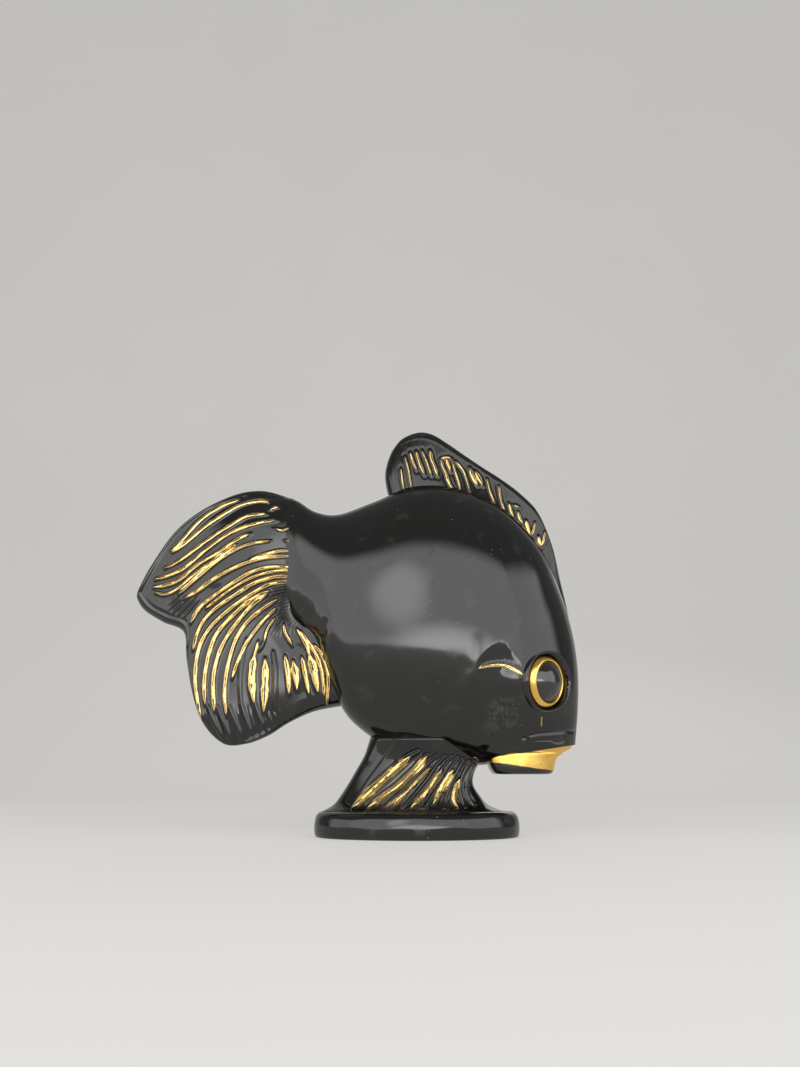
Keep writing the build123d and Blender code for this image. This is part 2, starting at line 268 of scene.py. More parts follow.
# Shares of the grooves' depth: the whole foot is sunk by one, and the ground between its rays by
# another one on top of it
stand_sink_share = 0.6
stand_ground_share = 0.1
stand_pad_height = 0.0007
# From the middle plane outwards, where the carving of the foot begins and where it is full
stand_side_border = (0.002, 0.007)

# Where the photograph was taken from, for places read from it in its own pixels
photo_width = 800.0
photo_centre = (400.0, 533.5)
photo_focal_length = 800.0
camera_place = np.array([-0.00577, -0.293, 0.0193])
camera_pitch = math.radians(17.0)

# Shape of every ray: how much its ends narrow, and where its crest stops as a share of its half width.
# Then, in widths of the groove past its side, where the groove is deepest and where it runs out
ray_taper_share = 0.45
ray_crest_share = 0.35
ray_groove_share = 0.75
ray_end_shares = (0.6, 1.7)
# Width and line of each gold stroke, and then of each ray that is left black
stand_stroke_pixels = [
    (7.0, [(410, 757), (398, 767), (385, 778), (368, 793), (352, 807)]),
    (5.0, [(427, 756), (418, 767), (408, 777), (397, 787), (385, 795), (368, 807)]),
    (2.4, [(430, 768), (423, 775), (415, 783), (405, 794), (393, 806)]),
    (1.6, [(416, 784), (402, 795), (386, 807)]),
    (4.6, [(442, 770), (436, 778), (430, 787), (421, 797), (411, 807)]),
    (3.6, [(453, 770), (446, 780), (440, 791), (433, 804)]),
    (1.8, [(454, 774), (449, 782), (444, 792)]),
    (4.8, [(460, 779), (456, 787), (454, 794), (454, 801), (458, 807)]),
]
stand_plain_pixels = [
    (5.0, [(418, 752), (405, 760), (390, 771)]),
    (2.5, [(436, 757), (428, 764), (418, 774), (404, 789), (384, 806)]),
    (2.5, [(445, 757), (436, 766), (428, 778), (414, 795), (402, 808)]),
    (2.0, [(452, 757), (443, 767), (436, 779), (427, 793), (420, 808)]),
    (2.5, [(459, 758), (450, 769), (442, 782), (434, 793), (424, 808)]),
    (3.0, [(464, 760), (457, 772), (450, 786), (446, 797), (445, 808)]),
    (3.0, [(470, 762), (464, 773), (461, 784), (461, 795), (466, 807)]),
    (3.0, [(475, 766), (469, 777), (467, 788), (470, 799), (478, 808)]),
]
# The rear border of the rays, with the broad smooth ray past it: where that rises, and where it ends
stand_border_pixels = [(392, 744), (378, 764), (366, 780), (355, 798), (350, 808)]
stand_pad_pixels = (-0.5, 3.0, 12, 30)
# Where the field of rays begins past the border and below the belly, and where it ends in front
stand_field_rear_pixels = (2.0, 9.0)
stand_field_top_pixels = (738, 752)
stand_field_front_pixels = (474, 480)


def rows_at(rows, shares):
    """Smooth curve through rows of numbers, read at many shares of its run."""
    rows = np.asarray(rows, float)
    shares = np.asarray(shares, float)
    last = len(rows) - 1
    padded = np.concatenate([[2 * rows[0] - rows[1]], rows, [2 * rows[-1] - rows[-2]]])
    start = np.minimum((shares * last).astype(int), last - 1)
    f = (shares * last - start).reshape((-1,) + (1,) * (rows.ndim - 1))
    a, b, c, d = (padded[start + step] for step in range(4))
    return b + f * (c - a + f * (2 * a - 5 * b + 4 * c - d + f * (3 * (b - c) + d - a))) / 2


def ramp(values, low, high):
    """0 up to low, 1 from high on, smooth between."""
    share = np.clip((values - low) / (high - low), 0, 1)
    return share * share * (3 - 2 * share)


def window(values, low, full, falling, high):
    """1 from full to falling, 0 outside low and high, smooth between."""
    return ramp(values, low, full) * (1 - ramp(values, falling, high))


def photo_pixels(points):
    """Pixels of the photograph where points of the right side are seen. The left side mirrors it."""
    seen = np.stack([points[..., 0], -abs(points[..., 1]), points[..., 2]], -1) - camera_place
    deep = seen[..., 1] * math.cos(camera_pitch) + seen[..., 2] * math.sin(camera_pitch)
    up = seen[..., 2] * math.cos(camera_pitch) - seen[..., 1] * math.sin(camera_pitch)
    u = photo_centre[0] + photo_focal_length * seen[..., 0] / deep
    v = photo_centre[1] - photo_focal_length * up / deep
    return u, v


def distance_to(pixels, u, v):
    """Distance in pixels from a line of pixels, and the share of the line that is nearest."""
    nearest = np.full(u.shape, 1e9)
    share = np.zeros(u.shape)
    for step, ((au, av), (bu, bv)) in enumerate(zip(pixels, pixels[1:])):
        run = (bu - au) ** 2 + (bv - av) ** 2
        t = np.clip(((u - au) * (bu - au) + (v - av) * (bv - av)) / run, 0, 1)
        gap = np.hypot(u - au - t * (bu - au), v - av - t * (bv - av))
        closer = gap < nearest
        nearest = np.where(closer, gap, nearest)
        share = np.where(closer, (step + t) / (len(pixels) - 1), share)
    return nearest, share


def smooth_line(pixels, steps_each=6):
    """More points on a smooth line through pixels."""
    count = steps_each * (len(pixels) - 1)
    return rows_at(pixels, np.arange(count + 1) / count)


def ridges(strokes, u, v, groove=2.2):
    """Height from -1 in a groove to 1 on a ridge under each stroke, and how near a stroke is."""
    height = np.full(u.shape, -1.0)
    near = np.zeros(u.shape)
    for width, pixels in strokes:
        gap, share = distance_to(smooth_line(pixels, 3), u, v)
        half = width / 2 * (1 - ray_taper_share * (1 - np.sin(math.pi * share)))
        crest, lowest = half * ray_crest_share, half + groove * ray_groove_share
        height = np.maximum(height, 1 - 2 * ramp(gap, crest, lowest))
        ground, plain = (half + groove * end for end in ray_end_shares)
        near = np.maximum(near, 1 - ramp(gap, ground, plain))
    return height, near


def normals_of(rings):
    """Outward normal at each point of a skin of closed rings."""
    normal = np.cross(np.gradient(rings, axis=0), (np.roll(rings, -1, 1) - np.roll(rings, 1, 1)) / 2)
    normal /= np.maximum(np.linalg.norm(normal, axis=-1, keepdims=True), 1e-12)
    lean = ((rings - rings.mean((0, 1))) * normal).sum(-1).mean()
    return normal if lean > 0 else -normal


def stand_grid():
    """Rings of the pelvic fins from the foot to the neck, carved with rays."""
    heights = np.linspace(0, 1, stand_levels + 1)
    rows = rows_at(stand_slice_shares, heights)
    half_around = stand_around // 2
    turn = math.pi * np.arange(half_around) / half_around
    along = (1 - np.cos(turn)) / 2
    bulge = (1 - abs(2 * along - 1) ** stand_side_power) ** (1 / stand_side_power)
    rings = []
    for height, left_run, right_run, depth_run in rows:
        left, right = (
            foot * base_length + (neck * fish_length - foot * base_length) * run
            for foot, neck, run in zip(stand_foot_shares, stand_neck_shares, (left_run, right_run))
        )
        half = (stand_foot_depth + (stand_waist_depth - stand_foot_depth) * depth_run) / 2
        z = base_high.z + height * stand_top_share * fish_height
        run = np.concatenate([along, 1 - along])
        side = np.concatenate([-bulge, bulge])
        x = left + (right - left) * run
        above = max(0.0, (height - stand_flare_share) / (1 - stand_flare_share))
        flare = stand_flare * above ** stand_flare_power
        flare -= stand_top_rounding * ramp(height, stand_rounding_share, 1.0) ** 2
        rings.append(np.stack([x, (half + flare) * side, np.full(stand_around, z)], -1))
    return np.array(rings)


def carve_stand(grid):
    """Adds the rays and the broad smooth ray to the plain foot."""
    u, v = photo_pixels(grid)
    rays = stand_stroke_pixels + stand_plain_pixels
    height, near = ridges(rays, u, v, stand_groove_width_pixels)
    border_u, border_v = zip(*stand_border_pixels)
    past = u - np.interp(v, border_v, border_u)
    field = ramp(past, *stand_field_rear_pixels) * ramp(v, *stand_field_top_pixels)
    field *= 1 - ramp(u, *stand_field_front_pixels)
    ribs = (height * near - (1 - near) * stand_ground_share) * field - stand_sink_share
    rise = stand_groove_depth * ribs + stand_pad_height * window(past, *stand_pad_pixels)
    flat = normals_of(grid)
    flat[..., 2] = 0
    return grid + flat * (rise * ramp(abs(grid[..., 1]), *stand_side_border))[..., None]


stand_skin = carve_stand(stand_grid())
piece(
    "pelvic_fins_skin", *closed_rings(stand_skin),
    glazed_black("pelvic fin black", 0.7), "gloss_black", "fin_stand",
)


# Body
# Two black half shells glued along the middle. The seam was dressed and the whole was glazed, so the
# body shows as one smooth form, with the gill, the brow, the cheek and the mouth carved in.

body_thickness = 0.045
# The belly point, the back point and the fullness of slices that fan from the tail to the mouth
body_slice_shares = [
    (-0.284, 0.481, -0.295, 0.811, 0.43),
    (-0.256, 0.442, -0.271, 0.794, 0.52),
    (-0.217, 0.388, -0.230, 0.765, 0.63),
    (-0.184, 0.296, -0.177, 0.759, 0.74),
    (-0.145, 0.217, -0.097, 0.794, 0.85),
    (-0.061, 0.148, -0.007, 0.837, 0.95),
    (0.004, 0.129, 0.096, 0.832, 1.00),
    (0.051, 0.121, 0.206, 0.774, 1.00),
    (0.084, 0.114, 0.287, 0.669, 0.96),
    (0.108, 0.109, 0.328, 0.551, 0.88),
    (0.128, 0.107, 0.352, 0.439, 0.77),
    (0.145, 0.107, 0.360, 0.336, 0.65),
    (0.157, 0.111, 0.355, 0.241, 0.52),
    (0.165, 0.124, 0.345, 0.155, 0.40),
]
body_flank_steps = 80
body_head_steps = 220
body_head_share = 7.2 / 13
body_around = 280
body_turn_ease = 0.30
# The belly is fuller towards the rear, from none to all of it between two places along the fish and
# between two levels, on a scale from -1 at the back to 1 at the belly
keel_fullness = 0.32
keel_border = (-0.030, -0.004)
keel_levels = (-0.2, 0.6)
# The rear end is drawn in a little and rounded over into the tail, by rings at these angles
body_end_rise = 0.0030
body_end_draw = 0.020
body_end_steps = 10
body_end_turns = [math.radians(angle) for angle in (84, 70, 56, 42, 28, 14)]
# Eyes: places as shares, turned towards the front and dipped a little, out of the middle by a share
eye_turn_angle = math.radians(43.0)
eye_dip_angle = math.radians(6.0)
eye_x_share = 0.272
eye_z_share = 0.300
eye_out_share = 0.315
# The head round the eye swells up to a level below the eye's plane, and its pocket is cut to a level
eye_swell_radius = 0.0165
eye_swell_level = -0.0014
eye_swell_blend = 0.0010
eye_pocket_border = (0.0088, 0.0098)
eye_pocket_level = -0.0014
# Only what lies this near to the eye's plane is changed
eye_head_depth = 0.012
# Scoop under the brow, which deepens from its arch to the ledge of the cheek and stops there
brow_scoop_depth = 0.0014
brow_scoop_power = 1.3
brow_scoop_pixels = (475, 485, 514, 527)
brow_ledge_fade_pixels = (-1.2, 1.0)
brow_arch_pixels = [(474, 668), (480, 660), (485, 653), (492, 646), (500, 641.5), (506, 644),
                    (509, 650), (516, 658), (522, 667), (527, 674)]
brow_ledge_pixels = [(474, 668), (478, 667), (486, 664.5), (497, 663), (505, 663), (511, 666),
                     (518, 669.5), (524, 673), (527, 674)]
# Cheek plate, a little below the flank: its two borders along the fish, its top from the ledge down,
# and its foot
cheek_depth = 0.0005
cheek_pixels = (474, 483, 520, 545)
cheek_top_pixels = (-1.0, 4.0)
cheek_foot_pixels = (690, 748)
# Edge of the gill, which stands proud of the plate and fades out before the end of its line
gill_height = 0.0004
gill_width_pixels = 5.5
gill_fade = 1.1
gill_pixels = [(478, 632), (477, 650), (476, 668), (477, 690), (479, 708), (476, 722)]
# Slit of the mouth, above and below its lip
mouth_top_pixels = [(523, 739), (530, 736), (540, 733.7), (560, 732), (578, 731)]
mouth_bottom_pixels = [(523, 739), (535, 740.5), (550, 740.2), (557, 742.5), (563, 741), (564, 736)]
# Leaf shaped lip, and dimple by the tail: middle, half width and half height
lip_height = 0.00022
lip_pixels = (545, 737, 14, 3.0)
dimple_depth = 0.00016
dimple_pixels = (305, 601, 20, 37)
dimple_border_shares = (0.45, 1.02)
dimple_rear_pixels = (292, 302)
# From the middle plane outwards, where the carving of the body begins and where it is full
body_side_border = (0.001, 0.004)
# Lines of the body's other ridges and grooves, with their height, half width in pixels and how much
# their ends fade: the fold and the hollow below the gill, the slit of the mouth, the crease above the
# jaw and the steep end of the dimple
body_line_pixels = [
    (0.00060, 7.0, 1.0, [(470, 668), (462, 690), (452, 716), (444, 744)]),
    (-0.00050, 7.0, 1.0, [(432, 676), (436, 700), (434, 738)]),
    (-0.00050, 1.5, 0.0, smooth_line(mouth_top_pixels)),
    (-0.00042, 1.4, 0.0, smooth_line(mouth_bottom_pixels)),
    (-0.00030, 5.0, 0.0, [(484, 750), (492, 748), (503, 747.5)]),
    (-0.00030, 3.2, 0.5, [(306, 630), (313, 636), (321, 637), (325, 628), (326, 618)]),
]
# Middle, reach and strength of the dusty patch on the cheek and of the smudge on the flank
body_scuffs = [((0.0298, 0.0190, 0.0392), 0.0085, 1.0), ((0.0051, 0.0215, 0.0961), 0.0022, 1.8)]


def spot(x_share, z_share):
    """Point of the middle plane at a share of the fish's length and height."""
    return np.array([x_share * fish_length, 0.0, base_height + z_share * fish_height])


def body_grid():
    """Rings of the body from the tail to the mouth, each a half ellipse and its mirror."""
    flank = np.linspace(0, body_head_share, body_flank_steps, endpoint=False)
    head = np.linspace(body_head_share, 1, body_head_steps + 1)
    down = np.arange(body_around // 2) * 2 / body_around
    down = math.pi * ((1 + body_turn_ease) * down - body_turn_ease * down ** 2)
    turn = np.concatenate([down, [math.pi], 2 * math.pi - down[:0:-1]])
    rings, end_rings = [], []
    slices = rows_at(body_slice_shares, np.append(flank, head))
    for belly_x, belly_z, back_x, back_z, fullness in slices:
        belly, back = spot(belly_x, belly_z), spot(back_x, back_z)
        half = body_thickness * fullness / 2
        ring = (belly + back) / 2 + np.outer(np.cos(turn), (back - belly) / 2)
        ring[:, 1] = -half * np.sin(turn)
        rings.append(ring)
    middle = rings[0].mean(0)
    for step in range(body_end_steps):
        drawn = body_end_draw * (1 - step / body_end_steps) ** 2
        rings[step] = rings[step] + (rings[step].mean(0) - rings[step]) * drawn
    for turned_in in body_end_turns:
        ring = middle + (rings[0] - middle) * math.cos(turned_in)
        end_rings.append(ring - np.array([body_end_rise * math.sin(turned_in), 0.0, 0.0]))
    grid = np.array(end_rings + rings)
    full = keel_fullness * (1 - ramp(grid[..., 0], *keel_border)) * ramp(-np.cos(turn), *keel_levels)
    grid[..., 1] *= np.maximum(abs(np.sin(turn)), 0.02) ** -full
    return grid


def eye_axes():
    """Middle and axis of the right eye."""
    centre = spot(eye_x_share, eye_z_share) - np.array([0, eye_out_share * body_thickness, 0])
    axis = np.array([
        math.sin(eye_turn_angle) * math.cos(eye_dip_angle),
        -math.cos(eye_turn_angle) * math.cos(eye_dip_angle),
        -math.sin(eye_dip_angle),
    ])
    return centre, axis


def swell_to_eye(grid):
    """Raises the head to the rear of each eye's socket and sinks a pocket into it."""
    mirror = np.where(grid[..., 1:2] > 0, np.array([1.0, -1.0, 1.0]), 1.0)
    centre, axis = eye_axes()
    seen = grid * mirror - centre
    height = seen @ axis
    reach = np.linalg.norm(seen - height[..., None] * axis, axis=-1)
    short = eye_swell_level - height
    lift = (short + np.sqrt(short ** 2 + eye_swell_blend ** 2)) / 2
    rise = lift * (1 - ramp(reach, eye_pocket_border[1], eye_swell_radius))
    pocket = 1 - ramp(reach, *eye_pocket_border)
    rise = rise * (1 - pocket) + (eye_pocket_level - height) * pocket
    rise *= abs(height) < eye_head_depth
    return grid + mirror * axis * rise[..., None]


def carve_body(grid):
    """Cuts the brow, the cheek, the gill, the mouth and the dimple by the tail into the plain body."""
    u, v = photo_pixels(grid)
    arch = np.interp(u, *zip(*brow_arch_pixels))
    ledge = np.interp(u, *zip(*brow_ledge_pixels))
    into = np.clip((v - arch + 1) / np.maximum(ledge - arch + 1, 1), 0, 1)
    scoop = window(u, *brow_scoop_pixels) * into ** brow_scoop_power
    scoop *= 1 - ramp(v - ledge, *brow_ledge_fade_pixels)
    plate = window(u, *cheek_pixels) * ramp(v - ledge, *cheek_top_pixels)
    plate *= 1 - ramp(v, *cheek_foot_pixels)
    rise = -brow_scoop_depth * scoop - cheek_depth * plate
    gap, share = distance_to(smooth_line(gill_pixels), u, v)
    fade = np.sin(math.pi * np.clip(share * gill_fade, 0, 1))
    rise += gill_height * np.exp(-(gap / gill_width_pixels) ** 2) * fade
    for height, width, fade, line in body_line_pixels:
        gap, share = distance_to(line, u, v)
        rise += height * np.exp(-(gap / width) ** 2) * np.sin(math.pi * share) ** fade
    x, y, wide, high = lip_pixels
    rise += lip_height * np.exp(-((u - x) / wide) ** 2 - ((v - y) / high) ** 2)
    x, y, wide, high = dimple_pixels
    dimple = 1 - ramp(np.hypot((u - x) / wide, (v - y) / high), *dimple_border_shares)
    rise -= dimple_depth * dimple * ramp(u, *dimple_rear_pixels)
    side = ramp(abs(grid[..., 1]), *body_side_border)
    return grid + normals_of(grid) * (rise * side)[..., None]


body_points, body_faces = closed_rings(swell_to_eye(carve_body(body_grid())))
piece(
    "body_skin", body_points, body_faces,
    glazed_black("body black", 0.55, body_scuffs), "gloss_black", "body_shell_right", "body_shell_left",
)


# Tail
# The fantail is moulded in black with its tenon. Fine rays leave the root, curl round a point near its
# foot and end at the edges of two lobes. The upper lobe has a smooth bead round it.

tail_root_thickness = 0.018
tail_edge_thickness = 0.009
# The root is at least this share of the thickness of the body's end. It flares into the body over
# shares of the run from the edge to the root, below a share of the height
tail_root_share = 0.975
tail_root_flare = 0.0035
tail_flare_run_shares = (0.70, 1.20)
tail_flare_top_shares = (0.40, 0.50)
# The tail thickens towards its root from before its edge, at first fast and then slower
tail_swell_run_shares = (-0.25, 1.0)
tail_swell_power = 0.8
tail_rim_width = 0.0052
tail_root_rim_width = 0.002
tail_top_rim_width = 0.0030
tail_rib_height = 0.00034
# Fine grooves between the rays: how many go across the fan, and their share of the rays' height
tail_wave_count = 46
tail_wave_share = 0.8
# Number of even levels at which the slices below are read
tail_levels = 12
# Height, edge, gap from the rear of the body, and the fullness of the edge and of the root
tail_slice_shares = [
    (0.157, -0.413, 0.302, 0.45, 0.25), (0.175, -0.443, 0.235, 0.75, 0.30),
    (0.205, -0.466, 0.130, 0.95, 0.35), (0.250, -0.485, 0.018, 1.00, 0.45),
    (0.300, -0.499, 0.004, 1.00, 0.55), (0.350, -0.506, 0.003, 1.00, 0.60),
    (0.400, -0.512, 0.003, 1.00, 0.60), (0.440, -0.532, 0.003, 1.00, 0.60),
    (0.481, -0.598, 0.002, 1.00, 0.60), (0.530, -0.637, 0.000, 1.00, 0.78),
    (0.590, -0.621, 0.000, 1.00, 0.98), (0.650, -0.591, 0.000, 1.00, 1.00),
    (0.710, -0.557, 0.000, 1.00, 0.90), (0.765, -0.507, 0.001, 0.95, 0.66),
    (0.805, -0.449, 0.005, 0.75, 0.28), (0.827, -0.392, 0.052, 0.40, 0.12),
]
tail_bead_width = 0.0034
tail_bead_depth = 0.0007
# The bead's inner side begins at a share of its width. It sets in along the run from the root to the
# edge, and the upper lobe, which has it, gives way to the lower one across the fan
tail_bead_side_share = 0.45
tail_bead_run_shares = (0.15, 0.5)
tail_lobe_shares = (0.30, 0.42)
# The rays fade out over distances from the edge, on the upper lobe and on the lower one, and between
# two distances from the last ray and from the root
tail_ray_edge_fades = (0.0030, 0.0022)
tail_ray_last_fade = (0.0005, 0.002)
tail_ray_root_fade = (0.002, 0.006)
tail_across = 380
tail_across_ease = 0.25
tail_along = 100
tail_along_ease = 0.75
# Rays from the root to the edge, the first along the top
tail_ray_shares = [
    [(-0.272, 0.7980), (-0.365, 0.829), (-0.452, 0.805), (-0.547, 0.725), (-0.609, 0.616), (-0.637, 0.54)],
    [(-0.26, 0.733), (-0.378, 0.754), (-0.462, 0.722), (-0.536, 0.647), (-0.591, 0.594), (-0.636, 0.524)],
    [(-0.26, 0.686), (-0.384, 0.68), (-0.465, 0.627), (-0.528, 0.564), (-0.578, 0.521), (-0.617, 0.495)],
    [(-0.26, 0.644), (-0.382, 0.63), (-0.458, 0.586), (-0.506, 0.54), (-0.542, 0.497), (-0.574, 0.465)],
    [(-0.26, 0.614), (-0.378, 0.597), (-0.445, 0.548), (-0.483, 0.508), (-0.504, 0.471), (-0.524, 0.437)],
    [(-0.26, 0.589), (-0.376, 0.564), (-0.449, 0.508), (-0.487, 0.45), (-0.503, 0.392), (-0.51, 0.354)],
    [(-0.26, 0.57), (-0.364, 0.546), (-0.432, 0.489), (-0.476, 0.418), (-0.488, 0.331), (-0.474, 0.223)],
    [(-0.26, 0.548), (-0.351, 0.516), (-0.405, 0.444), (-0.431, 0.356), (-0.442, 0.26), (-0.423, 0.16)],
    [(-0.272, 0.522), (-0.332, 0.489), (-0.37, 0.418), (-0.386, 0.336), (-0.386, 0.25), (-0.372, 0.157)],
    [(-0.272, 0.497), (-0.311, 0.465), (-0.337, 0.405), (-0.345, 0.328), (-0.339, 0.248), (-0.323, 0.177)],
    [(-0.266, 0.480), (-0.292, 0.45), (-0.303, 0.398), (-0.303, 0.326), (-0.296, 0.255), (-0.283, 0.206)],
    [(-0.258, 0.468), (-0.263, 0.434), (-0.262, 0.382), (-0.254, 0.321), (-0.245, 0.268), (-0.238, 0.231)],
    [(-0.250, 0.455), (-0.240, 0.425), (-0.230, 0.379), (-0.216, 0.326), (-0.207, 0.278), (-0.201, 0.243)],
    [(-0.225, 0.443), (-0.200, 0.418), (-0.176, 0.388), (-0.156, 0.345), (-0.142, 0.300), (-0.138, 0.254)],
]
# Width and line of each gold stroke, from the root to the edge
tail_stroke_pixels = [
    (3.4, [(239.5, 499), (228, 502.5), (217, 508), (200, 520), (183.5, 538), (171, 551)]),
    (3.0, [(269, 502), (258, 500.5), (239.5, 505), (221, 515.5), (204, 527), (187, 541.6), (172, 552)]),
    (2.6, [(265.6, 513.6), (247, 516), (232, 524), (213, 536), (195, 549), (180, 560), (164, 568)]),
    (3.0, [(275, 520), (258, 523), (239.5, 528.5), (224.5, 536), (204, 551), (183.5, 568), (168.5, 575),
           (154.5, 579)]),
    (2.8, [(249, 534), (236, 540), (217, 553), (198, 564), (180, 579), (167, 584.5), (153, 587)]),
    (2.6, [(236, 544.5), (213, 561), (195, 573.5), (178, 588), (165, 594), (155, 592)]),
    (2.8, [(269, 541), (251, 543.5), (232, 551), (213, 564), (195, 579), (178, 594)]),
    (2.4, [(290, 541.5), (286, 540.5)]),
    (3.0, [(290, 551), (280, 550.8), (268, 553.5), (251, 559)]),
    (3.4, [(290, 556), (270, 557), (251, 561), (232, 568.5), (213, 579), (198, 590), (183.5, 598.5)]),
    (3.4, [(290, 567), (269, 567), (251, 572), (232, 583), (213, 596), (200, 607), (190, 623)]),
    (2.0, [(291, 570.5), (275, 571), (257, 575.5), (241, 583), (224, 594), (206, 608)]),
    (3.4, [(291, 576), (273, 577), (254, 583), (236, 594), (217, 607), (204, 620), (196.5, 635),
           (193, 650)]),
    (3.4, [(291, 581), (269, 584.5), (251, 594), (232, 607), (213, 624), (202, 640.5), (196.5, 659),
           (195, 682), (197.5, 700), (201, 719)]),
    (3.6, [(269, 591), (251, 599.5), (232, 616), (217, 633), (210, 650), (206, 667), (204, 685),
           (205, 704)]),
    (3.6, [(266.5, 594), (250, 607), (232, 629), (221, 648), (215, 667), (213, 685), (214, 711.5)]),
    (3.4, [(277, 599.5), (262, 609), (247, 622), (236, 639), (230, 657), (226, 676), (224.5, 695),
           (226, 715)]),
    (3.0, [(276, 608), (262, 622), (249, 639), (239.5, 657), (232, 678)]),
    (1.8, [(275, 618), (267.5, 629), (264, 642)]),
    (1.6, [(278, 507), (273, 508), (270, 510)]),
    (1.8, [(289, 528), (282, 530.5), (276, 528.5)]),
    (2.4, [(258, 642), (256, 650), (253.5, 659)]),
    (8.0, [(254.5, 655), (252.5, 667), (251.6, 680), (252.5, 692), (254, 703)]),
    (8.0, [(265, 659), (265.5, 672), (265, 686), (264.5, 699), (263.5, 712)]),
    (2.8, [(283.5, 624), (285, 632), (288, 638), (292, 645)]),
    (5.0, [(285, 656), (287, 668), (288.5, 681), (289, 694)]),
    (6.6, [(293, 661), (295, 671), (296.5, 681), (297, 690)]),
    (4.0, [(301.5, 657), (304, 668), (306.5, 681), (309, 694)]),
    (3.0, [(297, 629), (302, 637), (307, 647), (310, 657)]),
    (7.4, [(309, 654), (312.5, 667), (315.5, 680), (318, 692)]),
    (3.4, [(301, 631), (310, 645), (317, 657), (322, 673), (324, 696)]),
    (3.2, [(314, 645), (321, 653), (326, 665), (328.5, 680), (327, 705)]),
]
# Width and line of each ray that is left black
tail_plain_pixels = [
    (4.0, [(246, 640), (242, 660), (240, 680), (241, 703)]),
    (5.0, [(273, 652), (275, 668), (275, 686), (274, 708)]),
    (4.0, [(264, 642), (259, 650)]),
    (4.0, [(208, 706), (214, 722), (222, 738)]),
    (4.0, [(217, 706), (223, 722), (231, 741)]),
    (4.0, [(229, 706), (235, 722), (242, 741)]),
    (4.0, [(241, 703), (245, 717), (250, 730)]),
    (4.0, [(255, 703), (258, 714), (262, 724)]),
]
# Patches where fine grooves show between the strokes: middle, half width and half height
tail_fine_pixels = [(286, 606, 30, 36), (184, 605, 20, 14), (262, 728, 66, 22)]


def fin_place(ray_shares, across, along):
    """Places on a fin in its middle plane, at shares across the fan and along its rays."""
    rays = rows_at(np.asarray(ray_shares).transpose(1, 0, 2), along)
    shares = rows_at(rays.transpose(1, 0, 2), across)
    x = shares[..., 0] * fish_length
    z = base_height + shares[..., 1] * fish_height
    return np.stack([x, np.zeros(x.shape), z], -1)


def even_steps(count, ease):
    """Shares from 0 to 1 that lie closer together at both ends."""
    steps = np.arange(count + 1) / count
    return (1 - ease) * steps + ease * (1 - np.cos(math.pi * steps)) / 2


def rounding(distance, radius):
    """Share of the thickness left at a distance from a rounded edge."""
    return np.sqrt(1 - np.clip(1 - distance / radius, 0, 1) ** 2)


def edge_distances(place):
    """Distance of each place of a fin from its edge, root, first ray and last ray."""
    to_edge = np.linalg.norm(place - place[:, -1:], axis=-1)
    to_root = np.linalg.norm(place - place[:, :1], axis=-1)
    to_first = np.linalg.norm(place - place[:1], axis=-1)
    to_last = np.linalg.norm(place - place[-1:], axis=-1)
    return to_edge, to_root, to_first, to_last


def fin_skins(right):
    """Points and faces of a fin from its right skin and the mirrored left one, joined at the rim."""
    rows, columns = right.shape[:2]
    left = right * np.array([1, -1, 1])
    index = np.arange(rows * columns).reshape(rows, columns)
    inner = np.zeros((rows, columns), bool)
    inner[1:-1, 1:-1] = True
    mirrored = index.copy()
    mirrored[inner] = rows * columns + np.arange(inner.sum())
    points = np.concatenate([right.reshape(-1, 3), left[inner]])
    faces = []
    for grid in (index, mirrored[:, ::-1]):
        corners = (grid[:-1, :-1], grid[1:, :-1], grid[1:, 1:], grid[:-1, 1:])
        faces += np.stack(corners, -1).reshape(-1, 4).tolist()
    return points, faces


def body_rear(heights):
    """Share of the length where the rear of the body lies at heights: its belly line, then its end."""
    line = [row[:2] for row in reversed(body_slice_shares[:6])] + [body_slice_shares[0][2:4]]
    return np.interp(heights, [point[1] for point in line], [point[0] for point in line])


def tail_half(place):
    """Half the thickness at places of the tail, from its edge to its root, without rim and rays."""
    table = np.array(tail_slice_shares)
    table[:, 2] = body_rear(table[:, 0]) - table[:, 2]
    # Even levels, so that the curve through the slices is smooth
    levels = np.linspace(table[0, 0], table[-1, 0], tail_levels)
    rows = np.stack([np.interp(levels, table[:, 0], column) for column in table[:, 1:].T], -1)
    height = (place[..., 2] - base_height) / fish_height
    run = np.clip((height - levels[0]) / (levels[-1] - levels[0]), 0, 1)
    edge, root, edge_full, root_full = rows_at(rows, run.ravel()).T.reshape((-1,) + run.shape)
    belly_x, belly_z, back_x, back_z, fullness = body_slice_shares[0]
    off_middle = (2 * height - belly_z - back_z) / (back_z - belly_z)
    body_end = body_thickness / 2 * fullness * np.sqrt(np.clip(1 - off_middle ** 2, 0, 1))
    root_half = np.maximum(tail_root_thickness / 2 * root_full, body_end * tail_root_share)
    edge_half = tail_edge_thickness / 2 * edge_full
    along = (place[..., 0] / fish_length - edge) / (root - edge)
    flare = ramp(along, *tail_flare_run_shares) * (1 - ramp(height, *tail_flare_top_shares))
    swell = ramp(along, *tail_swell_run_shares) ** tail_swell_power
    return edge_half + (root_half - edge_half) * swell + tail_root_flare * flare


def patches(u, v, places):
    """1 at the middle of each oval patch of pixels, falling to 0 at its border."""
    cover = np.zeros(u.shape)
    for x, y, wide, high in places:
        cover = np.maximum(cover, 1 - ramp(np.hypot((u - x) / wide, (v - y) / high), 0.45, 1.0))
    return cover


